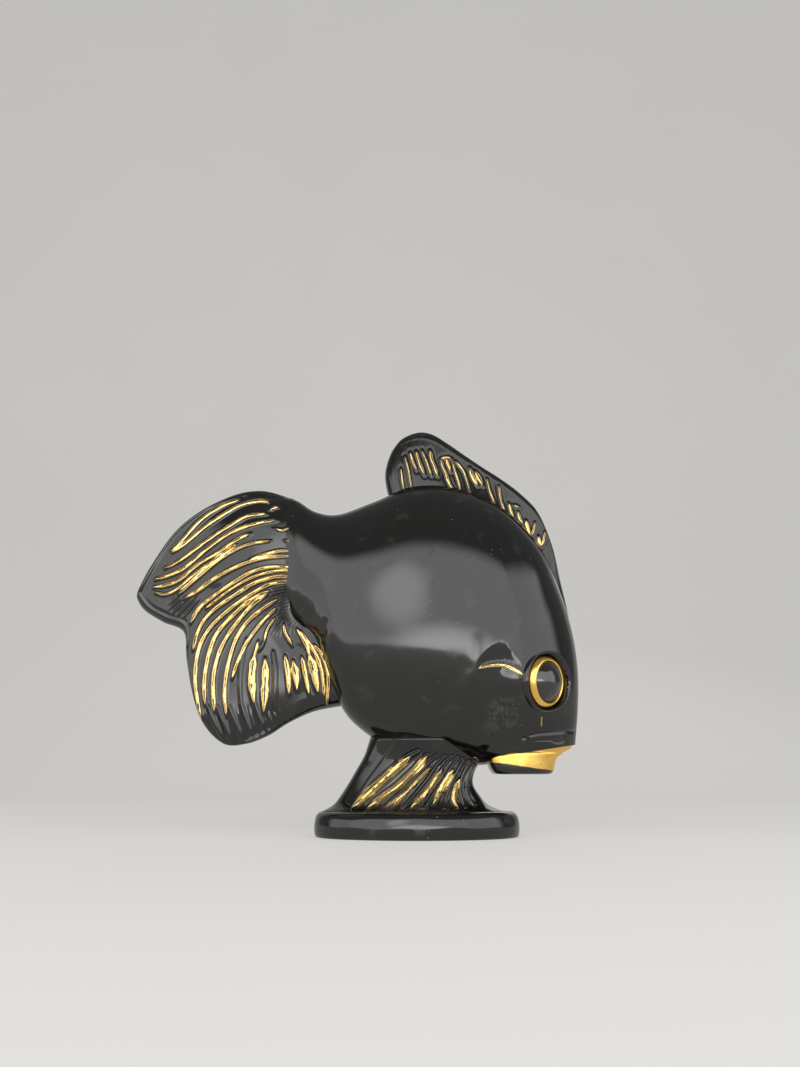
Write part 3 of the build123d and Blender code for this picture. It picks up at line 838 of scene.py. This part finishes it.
def tail_skin():
    """Right skin of the tail with its rays and its bead."""
    across, along = even_steps(tail_across, tail_across_ease), even_steps(tail_along, tail_along_ease)
    place = fin_place(tail_ray_shares, across, along)
    to_edge, to_root, to_first, to_last = edge_distances(place)
    share = np.broadcast_to(across[:, None], to_edge.shape)
    run = np.broadcast_to(along[None], to_edge.shape)
    half = tail_half(place)
    u, v = photo_pixels(place - half[..., None] * np.array([0, 1, 0]))
    upper = 1 - ramp(share, *tail_lobe_shares)
    from_rim = np.minimum(to_first, np.where(upper > 0.5, to_edge, 1.0))
    field = ramp(from_rim, tail_bead_width * tail_bead_side_share, tail_bead_width)
    half = half - tail_bead_depth * field * upper * ramp(run, *tail_bead_run_shares)
    height, near = ridges(tail_stroke_pixels + tail_plain_pixels, u, v)
    fine = patches(u, v, tail_fine_pixels)
    waves = np.cos(2 * math.pi * tail_wave_count * share) * fine
    ribs = height + waves * (1 - near) * tail_wave_share
    fade = field * ramp(to_edge, 0.0, np.where(upper > 0.5, *tail_ray_edge_fades))
    fade = fade * ramp(to_last, *tail_ray_last_fade) * ramp(to_root, *tail_ray_root_fade)
    half = half + tail_rib_height * ribs * fade
    half = half * rounding(to_edge, tail_rim_width) * rounding(to_first, tail_top_rim_width)
    half = half * rounding(to_root, tail_root_rim_width) * rounding(to_last, tail_root_rim_width)
    place[..., 1] = -half
    return place


tail_points, tail_faces = fin_skins(tail_skin())
piece(
    "tail_skin", tail_points, tail_faces,
    glazed_black("tail black", 0.5), "gloss_black", "tail_fan",
)


# Dorsal fin
# The back fin is moulded in black with a tongue that stands in the seam of the body. It has a smooth
# border round a field of short slanting rays.

dorsal_root_thickness = 0.0112
dorsal_edge_thickness = 0.0042
dorsal_rim_width = 0.0042
dorsal_rib_height = 0.00018
# Faint waves between the rays: how many go along the fin, and their share of the rays' height
dorsal_wave_count = 30
dorsal_wave_share = 0.08
# The field of rays is sunk by a share of their height, from shares of the rim's width inwards
dorsal_sink_share = 0.9
dorsal_border_shares = (0.6, 1.05)
dorsal_across = 300
dorsal_across_ease = 0.4
dorsal_along = 70
dorsal_along_ease = 0.7
# Rays from inside the body to the edge, the first at the rear
dorsal_ray_shares = [
    [(-0.06, 0.79), (-0.071, 0.861), (-0.068, 0.902), (-0.056, 0.946)],
    [(-0.04, 0.79), (-0.044, 0.87), (-0.04, 0.93), (-0.030, 0.983)],
    [(-0.01, 0.79), (-0.006, 0.87), (0.0, 0.94), (0.008, 1.002)],
    [(0.03, 0.79), (0.034, 0.87), (0.037, 0.93), (0.042, 0.997)],
    [(0.08, 0.79), (0.079, 0.84), (0.077, 0.90), (0.078, 0.971)],
    [(0.14, 0.78), (0.128, 0.82), (0.121, 0.87), (0.116, 0.938)],
    [(0.19, 0.74), (0.180, 0.78), (0.170, 0.83), (0.162, 0.899)],
    [(0.225, 0.69), (0.220, 0.74), (0.214, 0.79), (0.208, 0.862)],
    [(0.26, 0.62), (0.258, 0.68), (0.255, 0.74), (0.252, 0.820)],
    [(0.285, 0.55), (0.287, 0.61), (0.290, 0.69), (0.292, 0.765)],
    [(0.300, 0.53), (0.307, 0.58), (0.315, 0.63), (0.321, 0.670)],
    [(0.305, 0.49), (0.313, 0.52), (0.3235, 0.55), (0.3335, 0.580)],
    [(0.316, 0.43), (0.325, 0.457), (0.3345, 0.485), (0.3440, 0.512)],
    [(0.325, 0.385), (0.333, 0.41), (0.3415, 0.435), (0.3500, 0.460)],
]
# Width and line of each gold stroke
dorsal_stroke_pixels = [
    (1.5, [(405, 456), (408, 468), (410, 478), (412, 489)]),
    (1.2, [(401, 468), (402, 478), (404, 489)]),
    (1.8, [(410, 452), (413, 461), (417, 470)]),
    (3.0, [(416, 451), (419, 460), (422, 468), (425, 475)]),
    (1.8, [(422, 450), (427, 462), (432, 476)]),
    (3.4, [(430, 450), (432, 459), (435, 467), (438, 476)]),
    (2.6, [(441, 458), (443, 466), (446, 473), (449, 482), (454, 490)]),
    (2.2, [(441, 458), (448, 457), (451, 459)]),
    (3.0, [(446, 458), (449, 466), (451, 472)]),
    (1.6, [(452, 458), (455, 470), (459, 483), (461, 491)]),
    (1.6, [(456, 461), (463, 470), (467, 480), (470, 491)]),
    (4.4, [(470, 467), (472, 474), (475, 480), (478, 486)]),
    (5.0, [(475, 471), (479, 477), (483, 486)]),
    (1.6, [(487, 478), (489, 487), (492, 496), (496, 505)]),
    (1.8, [(499, 485), (500, 494), (502, 503), (505, 511)]),
    (2.8, [(509, 503), (511, 510), (514, 517)]),
    (3.6, [(514, 505), (519, 507)]),
    (2.6, [(518, 511), (520, 518), (523.5, 523.5)]),
    (3.4, [(526, 520), (528, 528), (530.5, 535.5)]),
    (2.2, [(530.5, 535.5), (533, 531), (535, 522)]),
    (4.6, [(538.5, 536), (539.5, 542), (541, 546)]),
    (2.6, [(541, 546), (543.5, 540), (545, 531)]),
]


def dorsal_skin():
    """Right skin of the back fin with its rays inside a smooth border."""
    across = even_steps(dorsal_across, dorsal_across_ease)
    along = even_steps(dorsal_along, dorsal_along_ease)
    place = fin_place(dorsal_ray_shares, across, along)
    to_edge, to_root, to_first, to_last = edge_distances(place)
    thickness = dorsal_root_thickness + (dorsal_edge_thickness - dorsal_root_thickness) * along
    half = np.broadcast_to(thickness / 2, to_edge.shape)
    u, v = photo_pixels(place - half[..., None] * np.array([0, 1, 0]))
    rim = np.minimum(np.minimum(to_edge, to_first), to_last)
    field = ramp(rim / dorsal_rim_width, *dorsal_border_shares)
    height, near = ridges(dorsal_stroke_pixels, u, v)
    waves = dorsal_wave_share * np.cos(2 * math.pi * dorsal_wave_count * across)[:, None]
    half = half + dorsal_rib_height * (height * near + waves * (1 - near) - dorsal_sink_share) * field
    half = half * rounding(to_edge, dorsal_rim_width) * rounding(to_first, dorsal_rim_width)
    half = half * rounding(to_root, dorsal_rim_width) * rounding(to_last, dorsal_rim_width)
    place[..., 1] = -half
    return place


dorsal_points, dorsal_faces = fin_skins(dorsal_skin())
piece(
    "dorsal_skin", dorsal_points, dorsal_faces,
    glazed_black("dorsal black", 0.5), "gloss_black", "dorsal_fin",
)


# Lower jaw
# A shovel shaped jaw under the head, moulded in black. Its lip was gilded with a brush, with a groove
# along it, and its lower side was left bare.

jaw_around = 160
jaw_middle_share = 0.215
jaw_rear_power = 0.45
# Height, rear, front and half width of rings from the underside up into the head
jaw_ring_shares = [
    (0.0850, 0.185, 0.262, 0.050), (0.0850, 0.170, 0.283, 0.094), (0.087, 0.165, 0.290, 0.106),
    (0.092, 0.161, 0.2945, 0.112), (0.100, 0.157, 0.2965, 0.1145), (0.110, 0.154, 0.2985, 0.116),
    (0.119, 0.152, 0.3015, 0.1165), (0.127, 0.152, 0.3060, 0.1165), (0.133, 0.152, 0.3125, 0.1165),
    (0.1365, 0.152, 0.3165, 0.1145), (0.139, 0.152, 0.3165, 0.1090), (0.1415, 0.152, 0.3225, 0.1135),
    (0.146, 0.152, 0.3320, 0.1175), (0.152, 0.152, 0.3385, 0.1180), (0.159, 0.152, 0.3420, 0.1150),
    (0.167, 0.152, 0.3430, 0.105),
]
# The gold's lower border falls from its height at the rear towards the front
jaw_gold_height = 0.0278
jaw_gold_fall = 0.127
jaw_gold_wobble = 0.0006
jaw_gold_softness = 0.0002
jaw_gold_tones = (0.78, 0.44, 0.075, 1), (0.92, 0.62, 0.17, 1)
bare_black = (0.006, 0.0055, 0.005, 1)
# The groove along the lip sinks from its highest place towards its ends, with a limit at each of them
jaw_groove_share = 0.1385
jaw_groove_width_share = 0.013
jaw_groove_top = 0.0390
jaw_groove_reach = 0.0095
jaw_groove_limits = (-1.0, 0.5)
jaw_groove_sink = 0.0012


def jaw_ring(height_share, rear_share, front_share, half_share):
    """One ring of the jaw: round in front, squarer behind."""
    turn = full_turn(jaw_around)
    c, s = np.cos(turn), np.sin(turn)
    power = np.where(c < 0, jaw_rear_power, 1.0)
    reach = np.where(c < 0, rear_share - jaw_middle_share, front_share - jaw_middle_share)
    x = (jaw_middle_share + reach * abs(c) ** power) * fish_length
    y = half_share * fish_height / 2 * np.sign(s) * abs(s) ** power
    bent = max(0.0, 1 - ((height_share - jaw_groove_share) / jaw_groove_width_share) ** 2)
    away = np.clip((x - jaw_groove_top) / jaw_groove_reach, *jaw_groove_limits)
    z = base_height + height_share * fish_height - jaw_groove_sink * bent * away ** 2
    return np.stack([x, y, z], -1)


def gilding(name, worn, scale):
    """Gold paint laid over black gloss: brushed, with a tone that changes in soft clouds, and worn through
    in places.
    """
    paint = Paint(name)
    place = paint.node("TexCoord", {}, {}, out="Object")
    cloud = paint.noise(place, 210.0, 3.0)
    streak = paint.noise(place, scale, 2.0, (1.0, 1.0, 6.0))
    gap = paint.noise(place, scale * 1.6, 4.0).ramp(worn, worn + 0.07)
    return paint, place, cloud, streak, gap


def gilded_jaw():
    """Finish of the jaw: gold above a slanting line, bare black below it."""
    paint, place, cloud, streak, gap = gilding("gilded jaw", 0.66, 700.0)
    height = paint.node("SeparateXYZ", {}, {0: place}, out="Z")
    length = paint.node("SeparateXYZ", {}, {0: place}, out="X")
    line = height + length * jaw_gold_fall + (cloud - 0.5) * jaw_gold_wobble
    gold = line.ramp(jaw_gold_height - jaw_gold_softness, jaw_gold_height + jaw_gold_softness)
    gold = gold * (1 - gap * 0.9)
    colour = paint.blend(gold, bare_black, paint.blend(cloud, *jaw_gold_tones))
    return paint.finish(
        Base_Color=colour, Metallic=gold, Roughness=0.12 + gold * (0.12 + 0.16 * streak),
        IOR=1.62, Normal=paint.relief(streak, 0.00004),
    )


piece(
    "lower_jaw_skin", *closed_rings([jaw_ring(*ring) for ring in jaw_ring_shares]),
    gilded_jaw(), "gilding", "lower_jaw",
)


# Eyes
# Each eye is a glossy black dome in a gilded ring. The ring sits in a pocket inside a raised black
# socket of the head and is turned towards the front of the fish.

eye_around = 128
# Radius and height above the pocket's plane, from the rim round to the middle
socket_profile = [
    (0.0090, -0.0030), (0.00905, -0.0005), (0.0092, 0.0000), (0.0095, 0.00035), (0.0098, 0.00045),
    (0.0101, 0.00035), (0.0104, 0.0000), (0.0106, -0.0006), (0.0107, -0.0016), (0.0107, -0.0055),
]
ring_profile = [
    (0.0069, -0.0016), (0.0069, 0.0010), (0.0070, 0.0016), (0.0073, 0.0020), (0.0077, 0.0020),
    (0.0081, 0.0017), (0.0085, 0.0012), (0.0088, 0.0006), (0.00896, 0.0000), (0.00898, -0.0016),
]
pupil_radius = 0.0071
pupil_rise = 0.0040
pupil_level = 0.0011
# Radius share and depth of the rings under the dome
pupil_foot = [(1.0, 0.0012), (0.9, 0.0016)]
pupil_steps = 26
ring_gold_tones = (0.80, 0.46, 0.08, 1), (0.94, 0.66, 0.20, 1)


def eye_frame(side):
    """Matrix of an eye, its axis out of the head. The side is -1 right, 1 left."""
    centre, axis = (Vector(numbers * (1, -side, 1)) for numbers in eye_axes())
    return Matrix.Translation(centre) @ axis.to_track_quat("Z", "Y").to_matrix().to_4x4()


def turned(matrix, profile):
    """Rings of a turned form, from its profile of radius and height."""
    turn = full_turn(eye_around)
    circle = np.stack([np.cos(turn), np.sin(turn), np.zeros(eye_around)], -1)
    rings = np.array([circle * radius + (0.0, 0.0, height) for radius, height in profile])
    m = np.array(matrix)
    return rings @ m[:3, :3].T + m[:3, 3]


def ring_faces(rings):
    """Points and faces of a hoop whose last ring joins its first."""
    count, around = rings.shape[:2]
    index = np.arange(count * around).reshape(count, around)
    below, beside = np.roll(index, -1, 0), np.roll(index, -1, 1)
    across = np.roll(below, -1, 1)
    return rings.reshape(-1, 3), np.stack([index, beside, across, below], -1).reshape(-1, 4).tolist()


def pupil_profile():
    """Domed top and flat underside of a pupil."""
    ball = (pupil_radius ** 2 + pupil_rise ** 2) / (2 * pupil_rise)
    widest = math.asin(pupil_radius / ball)
    dome = []
    for step in range(1, pupil_steps + 1):
        angle = widest * step / pupil_steps
        dome.append((ball * math.sin(angle), pupil_level + pupil_rise - ball * (1 - math.cos(angle))))
    return dome + [(pupil_radius * share, -depth) for share, depth in pupil_foot]


def eye_gloss():
    """Deep black gloss of the pupil, with specks of gold dust."""
    paint = Paint("eye black")
    place = paint.node("TexCoord", {}, {}, out="Object")
    dust = paint.noise(place, 900.0, 3.0).ramp(0.70, 0.76)
    colour = paint.blend(dust, (0.004, 0.004, 0.004, 1), (0.10, 0.07, 0.03, 1))
    rough = 0.03 + paint.noise(place, 140.0, 2.0) * 0.03 + dust * 0.3
    return paint.finish(
        Base_Color=colour, Roughness=rough, IOR=1.62, Coat_Weight=0.5, Coat_Roughness=0.02,
    )


def gilded_ring():
    """Finish of the ring: bright gold with thin spots."""
    paint, place, cloud, streak, gap = gilding("gilded ring", 0.68, 800.0)
    gold = 1 - gap * 0.9
    tone = paint.blend(cloud, *ring_gold_tones)
    return paint.finish(
        Base_Color=paint.blend(gold, bare_black, tone), Metallic=gold,
        Roughness=0.14 + streak * 0.14, IOR=1.62, Normal=paint.relief(streak, 0.00003),
    )


socket_black = glazed_black("socket black", 0.5)
ring_gold = gilded_ring()
pupil_black = eye_gloss()
for side, name in ((-1, "right"), (1, "left")):
    matrix = eye_frame(side)
    piece(f"eye_socket_{name}", *ring_faces(turned(matrix, socket_profile)), socket_black, "gloss_black")
    piece(
        f"eye_ring_{name}_skin", *ring_faces(turned(matrix, ring_profile)),
        ring_gold, "gilding", f"eye_ring_{name}",
    )
    piece(
        f"pupil_{name}", *closed_rings(turned(matrix, pupil_profile())),
        pupil_black, "eye_black", f"eye_{name}",
    )


# Gold brush strokes
# Gold paint laid by hand along the ridges of the fins, the brow and below the eye. Each stroke is a
# thin skin of paint with ragged edges that stands on the black. The far side has the same strokes.

# The paint stands proud between its edges, dips into the black at them, and its underside is sunk
paint_lift = 0.00006
paint_edge_dip = 0.000018
paint_sink = 0.00025
# Length of one step along a stroke in pixels, and the lanes of places across half its width
stroke_step_pixels = 1.1
stroke_lanes = (-1.0, -0.62, -0.2, 0.2, 0.62, 1.0)
# How ragged the sides are, over how many steps that is evened out, and how the two ends of a stroke
# taper: by how much to each width of length, and from what share of the width
stroke_raggedness = 0.45
stroke_smoothing = 7
stroke_start_taper = (0.9, 0.12)
stroke_end_taper = (0.6, 0.10)
stroke_map_scale = 0.1
stroke_gold_tones = (0.84, 0.56, 0.17, 1), (0.95, 0.75, 0.34, 1)
thin_gold = (0.54, 0.29, 0.07, 1)
brow_stroke_pixels = [
    (3.0, [(478.5, 668.5), (483, 666.5), (488, 665.6), (497, 665.0), (505, 665.4), (511, 668),
           (518, 671.6), (524, 675.5)]),
]
drip_stroke_pixels = [(1.3, [(542, 716), (541.5, 721), (541.5, 727)])]
dot_stroke_pixels = [(3.0, [(473, 757.5), (476, 758.5), (479, 761.5)])]


def from_photo(tree, u, v):
    """Place and normal where the photograph's pixel looks at a surface, or None."""
    a = (u - photo_centre[0]) / photo_focal_length
    b = (photo_centre[1] - v) / photo_focal_length
    ray = Vector((
        a, math.cos(camera_pitch) - math.sin(camera_pitch) * b,
        math.sin(camera_pitch) + math.cos(camera_pitch) * b,
    ))
    place, normal = tree.ray_cast(Vector(camera_place), ray.normalized())[:2]
    if place is None:
        return None
    return place, normal if normal.dot(ray) < 0 else -normal


def stroke_rows(tree, width, pixels, chance):
    """Rows of paint across one stroke, each of places and normals on the surface."""
    line = smooth_line(pixels, 10)
    runs = np.linalg.norm(np.diff(line, axis=0), axis=1)
    reach = np.append(0, np.cumsum(runs))
    count = max(3, int(reach[-1] / stroke_step_pixels))
    at = np.linspace(0, reach[-1], count + 1)
    us, vs = np.interp(at, reach, line[:, 0]), np.interp(at, reach, line[:, 1])
    du, dv = np.gradient(us), np.gradient(vs)
    size = np.hypot(du, dv)
    even = np.ones(stroke_smoothing) / stroke_smoothing
    ragged = np.convolve(chance.uniform(-1, 1, count + 5), even, "same")[2:-2]
    rows = []
    for step in range(count + 1):
        share = step / count
        tapers = [
            run * reach[-1] / width * slope + least
            for run, (slope, least) in ((share, stroke_start_taper), (1 - share, stroke_end_taper))
        ]
        half = width / 2 * min(1.0, *tapers) * (1 + stroke_raggedness * ragged[step])
        row = []
        for lane in stroke_lanes:
            u = us[step] - dv[step] / size[step] * half * lane
            v = vs[step] + du[step] / size[step] * half * lane
            row.append(from_photo(tree, u, v))
        if all(row):
            rows.append((at[step], share, row))
    return rows


def paint_strokes(name, tree, strokes, finish, seed, spread):
    """One piece of thin painted strokes on the right side, and its mirrored twin on the left."""
    chance = np.random.default_rng(seed)
    points, faces, map_places, runs = [], [], [], []
    lanes = len(stroke_lanes)
    for width, pixels in strokes:
        rows = stroke_rows(tree, width + spread, pixels, chance)
        if len(rows) < 2:
            continue
        first = len(points)
        drift = chance.uniform(0, 1000)
        for reach, share, row in rows:
            runs += [(share, 0.5)] * (2 * lanes)
            for lane, (place, normal) in zip(stroke_lanes, row):
                points.append(place + normal * (paint_lift if abs(lane) < 1 else -paint_edge_dip))
            points += [place - normal * paint_sink for place, normal in row]
            map_places += [((reach + drift) * stroke_map_scale, lane) for lane in stroke_lanes] * 2
        around = list(range(lanes)) + list(range(2 * lanes - 1, lanes - 1, -1))
        for step in range(len(rows) - 1):
            here = first + step * 2 * lanes
            for a, b in zip(around, around[1:] + around[:1]):
                faces.append((here + a, here + b, here + 2 * lanes + b, here + 2 * lanes + a))
        for end in (first, first + (len(rows) - 1) * 2 * lanes):
            for lane in range(lanes - 1):
                faces.append((end + lane, end + lane + 1, end + lanes + lane + 1, end + lanes + lane))
    for side, mirror in (("right", 1), ("left", -1)):
        placed = [(point.x, point.y * mirror, point.z) for point in points]
        made = piece(f"{name}_{side}", placed, faces, finish, "gilding")
        for layer_name, places in (("stroke", map_places), ("run", runs)):
            layer = made.data.uv_layers.new(name=layer_name)
            for loop in made.data.loops:
                layer.data[loop.index].uv = places[loop.vertex_index]


def stroke_gold(name, worn, matte=0.0):
    """Gold of a stroke: streaks along it, with bare black where it splits, ends dry or is worn."""
    paint = Paint(name)
    place = paint.node("TexCoord", {}, {}, out="Object")
    lie = paint.node("UVMap", {"uv_map": "stroke"}, {})
    across = abs(paint.node("SeparateXYZ", {}, {0: lie}, out="Y"))
    streak = paint.noise(lie, 1.0, 3.0, (0.7, 4.5, 1.0))
    broken = paint.noise(lie, 1.0, 4.0, (6.0, 2.4, 1.0))
    run = paint.node("SeparateXYZ", {}, {0: paint.node("UVMap", {"uv_map": "run"}, {})}, out="X")
    dry = abs(run - 0.5).ramp(0.30, 0.52)
    parting = paint.noise(lie, 1.0, 1.0, (0.6, 0.2, 1.0)).ramp(0.44, 0.52)
    split = (1 - across.ramp(0.10, 0.36)) * parting
    cloud = paint.noise(place, 160.0, 2.0)
    cover = streak * 0.85 + broken * 0.55 - 0.09 - across.ramp(0.50, 1.10) * 0.24 - split * 0.50
    cover = cover - dry * 0.20 - worn
    gold = cover.ramp(0.25, 0.31)
    tone = paint.blend(cover.ramp(0.28, 0.42), thin_gold, paint.blend(cloud, *stroke_gold_tones))
    return paint.finish(
        Base_Color=paint.blend(gold, bare_black, tone), Metallic=gold,
        Roughness=0.10 + gold * (0.12 + matte + streak * 0.16), IOR=1.62,
        Normal=paint.relief(streak * gold, 0.00003),
    )


def surface(points, faces):
    """Search tree of a skin, for laying paint on it."""
    return BVHTree.FromPolygons([tuple(point) for point in points], faces)


body_tree = surface(body_points, body_faces)
tail_tree = surface(tail_points, tail_faces)
dorsal_tree = surface(dorsal_points, dorsal_faces)
stand_tree = surface(*closed_rings(stand_skin))
bold_gold = stroke_gold("stroke gold", 0.0)
thick_gold = stroke_gold("thick gold", -0.14, 0.22)
faint_gold = stroke_gold("worn gold", 0.155)
faded_gold = stroke_gold("faded gold", 0.16)
# The strokes of each place, with the skin they lie on, their gold, their own seed and the pixels by
# which they are wider than the widths above
for name, tree, strokes, finish, seed, spread in (
    ("tail_gold", tail_tree, tail_stroke_pixels, bold_gold, 11, 1.1),
    ("dorsal_gold", dorsal_tree, dorsal_stroke_pixels, faint_gold, 12, 0.3),
    ("pelvic_gold", stand_tree, stand_stroke_pixels, thick_gold, 13, 1.5),
    ("brow_gold", body_tree, brow_stroke_pixels, bold_gold, 14, 0.4),
    ("dot_gold", body_tree, dot_stroke_pixels, faint_gold, 16, 0.0),
    ("drip_gold", body_tree, drip_stroke_pixels, faded_gold, 15, 0.0),
):
    paint_strokes(name, tree, strokes, finish, seed, spread)


# Pegs and pin inside
# Black pegs line up the two half shells, and a steel pin runs through the pelvic fins. They are hidden
# in the closed figure, and each still has its own finish.

def turned_steel():
    """Ground steel with fine rings round it."""
    paint = Paint("pin steel")
    place = paint.node("TexCoord", {}, {}, out="Object")
    rings = paint.noise(place, 900.0, 2.0, (0.1, 0.1, 4.0))
    colour = paint.blend(rings, (0.42, 0.42, 0.43, 1), (0.62, 0.62, 0.62, 1))
    return paint.finish(Base_Color=colour, Metallic=1.0, Roughness=0.28 + rings * 0.2)


def peg_plastic():
    """Matt black moulded pegs."""
    paint = Paint("peg black")
    place = paint.node("TexCoord", {}, {}, out="Object")
    grain = paint.noise(place, 1500.0, 2.0)
    colour = paint.blend(grain, (0.010, 0.010, 0.010, 1), (0.022, 0.021, 0.020, 1))
    return paint.finish(
        Base_Color=colour, Roughness=0.45 + grain * 0.2, Normal=paint.relief(grain, 0.00002),
    )


for node, finish in (("stand_pin", turned_steel()), ("shell_pegs", peg_plastic())):
    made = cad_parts[node]
    made.data.materials.clear()
    made.data.materials.append(finish)


# Studio
# A pale sweep of floor and backdrop, soft panels of light, and the camera where the photograph was
# taken.

sweep_depth = 1.6
sweep_width = 5.0
sweep_front = -2.2
sweep_radius = 0.9
sweep_top = 3.0
sweep_steps = 32
# Each lamp's place, aim, width, height, level and fades, then its glows: middle, reach and gain
panels = {
    "front_panel": (
        (-0.15, -0.55, 0.31), (-0.15, 0.0, 0.31), 1.2, 0.62, 1.9, (0.03, 0.03, 0.03, 0.26),
        [(0.65, 0.0, 0.22, 0.22, 1.9), (0.51, 0.40, 0.10, 0.34, 1.0)],
    ),
    "right_panel": (
        (0.601, -0.3256, 0.31), (0.0, 0.0195, 0.31), 0.62, 0.62, 1.7, (0.058, 0.3, 0.03, 0.26), [],
    ),
    "left_panel": (
        (-0.91, -0.31, 0.31), (-0.3, 0.04, 0.31), 0.62, 0.62, 1.5, (0.3, 0.03, 0.03, 0.26), [],
    ),
    "rear_panel": (
        (0.3, 1.1, 0.75), (0.0, 0.0, 0.075), 1.2, 0.7, 0.7, (0.12, 0.12, 0.12, 0.14), [],
    ),
}
air_colour = (0.26, 0.265, 0.265, 1)


def studio_sweep():
    """Floor that turns up into the backdrop in one smooth bend."""
    line = [(sweep_front, 0.0), (0.0, 0.0)]
    for step in range(sweep_steps + 1):
        angle = math.pi / 2 * step / sweep_steps
        line.append((sweep_depth - sweep_radius + sweep_radius * math.sin(angle),
                     sweep_radius - sweep_radius * math.cos(angle)))
    line.append((sweep_depth, sweep_top))
    points = [(x, y, z) for y, z in line for x in (-sweep_width / 2, sweep_width / 2)]
    faces = [(2 * step, 2 * step + 1, 2 * step + 3, 2 * step + 2) for step in range(len(line) - 1)]
    mesh = bpy.data.meshes.new("studio_sweep")
    mesh.from_pydata(points, [], faces)
    mesh.shade_smooth()
    paint = Paint("studio pale")
    place = paint.node("TexCoord", {}, {}, out="Object")
    cloud = paint.noise(place, 3.0, 2.0)
    colour = paint.blend(cloud, (0.80, 0.785, 0.76, 1), (0.83, 0.815, 0.79, 1))
    ray = paint.node("LightPath", {}, {}, out="Is Camera Ray")
    for kind in ("Is Glossy Ray", "Is Transmission Ray"):
        ray = ray + paint.node("LightPath", {}, {}, out=kind)
    glow = paint.node("Emission", {}, {"Color": colour, "Strength": 1.0})
    matt = Value(paint, paint.shader.outputs[0])
    shown = paint.node("MixShader", {}, {0: ray * 0.5, 1: matt, 2: glow})
    paint.feed(paint.nodes["Material Output"].inputs["Surface"], shown)
    mesh.materials.append(paint.finish(Base_Color=colour, Roughness=0.85))
    made = bpy.data.objects.new("studio_sweep", mesh)
    bpy.context.scene.collection.objects.link(made)


class Lamp(Paint):
    """A rectangular lamp and the nodes that grade its face."""

    def __init__(self, name):
        self.material = bpy.data.lights.new(name, "AREA")
        self.material.use_nodes = True
        self.nodes = self.material.node_tree.nodes
        self.shader = self.nodes["Emission"]


def soft_panel(name, place, aim, width, height, level, fades, glows):
    """Lamp whose face shows at a level, where 1 is white. It fades at its left, right, foot and head."""
    lamp = Lamp(name)
    lie = lamp.node("NewGeometry", {}, {}, out="Parametric")
    across = lamp.node("SeparateXYZ", {}, {0: lie}, out="X")
    up = lamp.node("SeparateXYZ", {}, {0: lie}, out="Y")
    left, right, foot, head = fades
    face = across.ramp(0.0, left) * (1 - across).ramp(0.0, right)
    face = face * up.ramp(0.0, foot) * (1 - up).ramp(0.0, head)
    for middle_across, middle_up, reach_across, reach_up, gain in glows:
        gap_across = (across - middle_across) * (1 / reach_across)
        gap_up = (up - middle_up) * (1 / reach_up)
        face = face + (1 - (gap_across * gap_across + gap_up * gap_up).ramp(0.0, 1.0)) * gain
    lamp.finish(Strength=face)
    light = lamp.material
    light.shape = "RECTANGLE"
    light.size = width
    light.size_y = height
    light.energy = level * math.pi * width * height
    made = bpy.data.objects.new(name, light)
    made.location = place
    made.rotation_euler = (Vector(aim) - Vector(place)).to_track_quat("-Z", "Y").to_euler()
    bpy.context.scene.collection.objects.link(made)


studio_sweep()
for name, panel in panels.items():
    soft_panel(name, *panel)
world = bpy.data.worlds.new("studio air")
world.use_nodes = True
world.node_tree.nodes["Background"].inputs["Color"].default_value = air_colour
bpy.context.scene.world = world
bpy.context.scene.view_settings.view_transform = "Standard"

camera = bpy.data.cameras.new("camera")
camera.sensor_fit = "HORIZONTAL"
camera.sensor_width = 36.0
camera.lens = camera.sensor_width * photo_focal_length / photo_width
camera.clip_start = 0.01
camera.clip_end = 20.0
viewer = bpy.data.objects.new("camera", camera)
viewer.location = Vector(camera_place)
viewer.rotation_euler = (math.pi / 2 + camera_pitch, 0.0, 0.0)
bpy.context.scene.collection.objects.link(viewer)
bpy.context.scene.camera = viewer
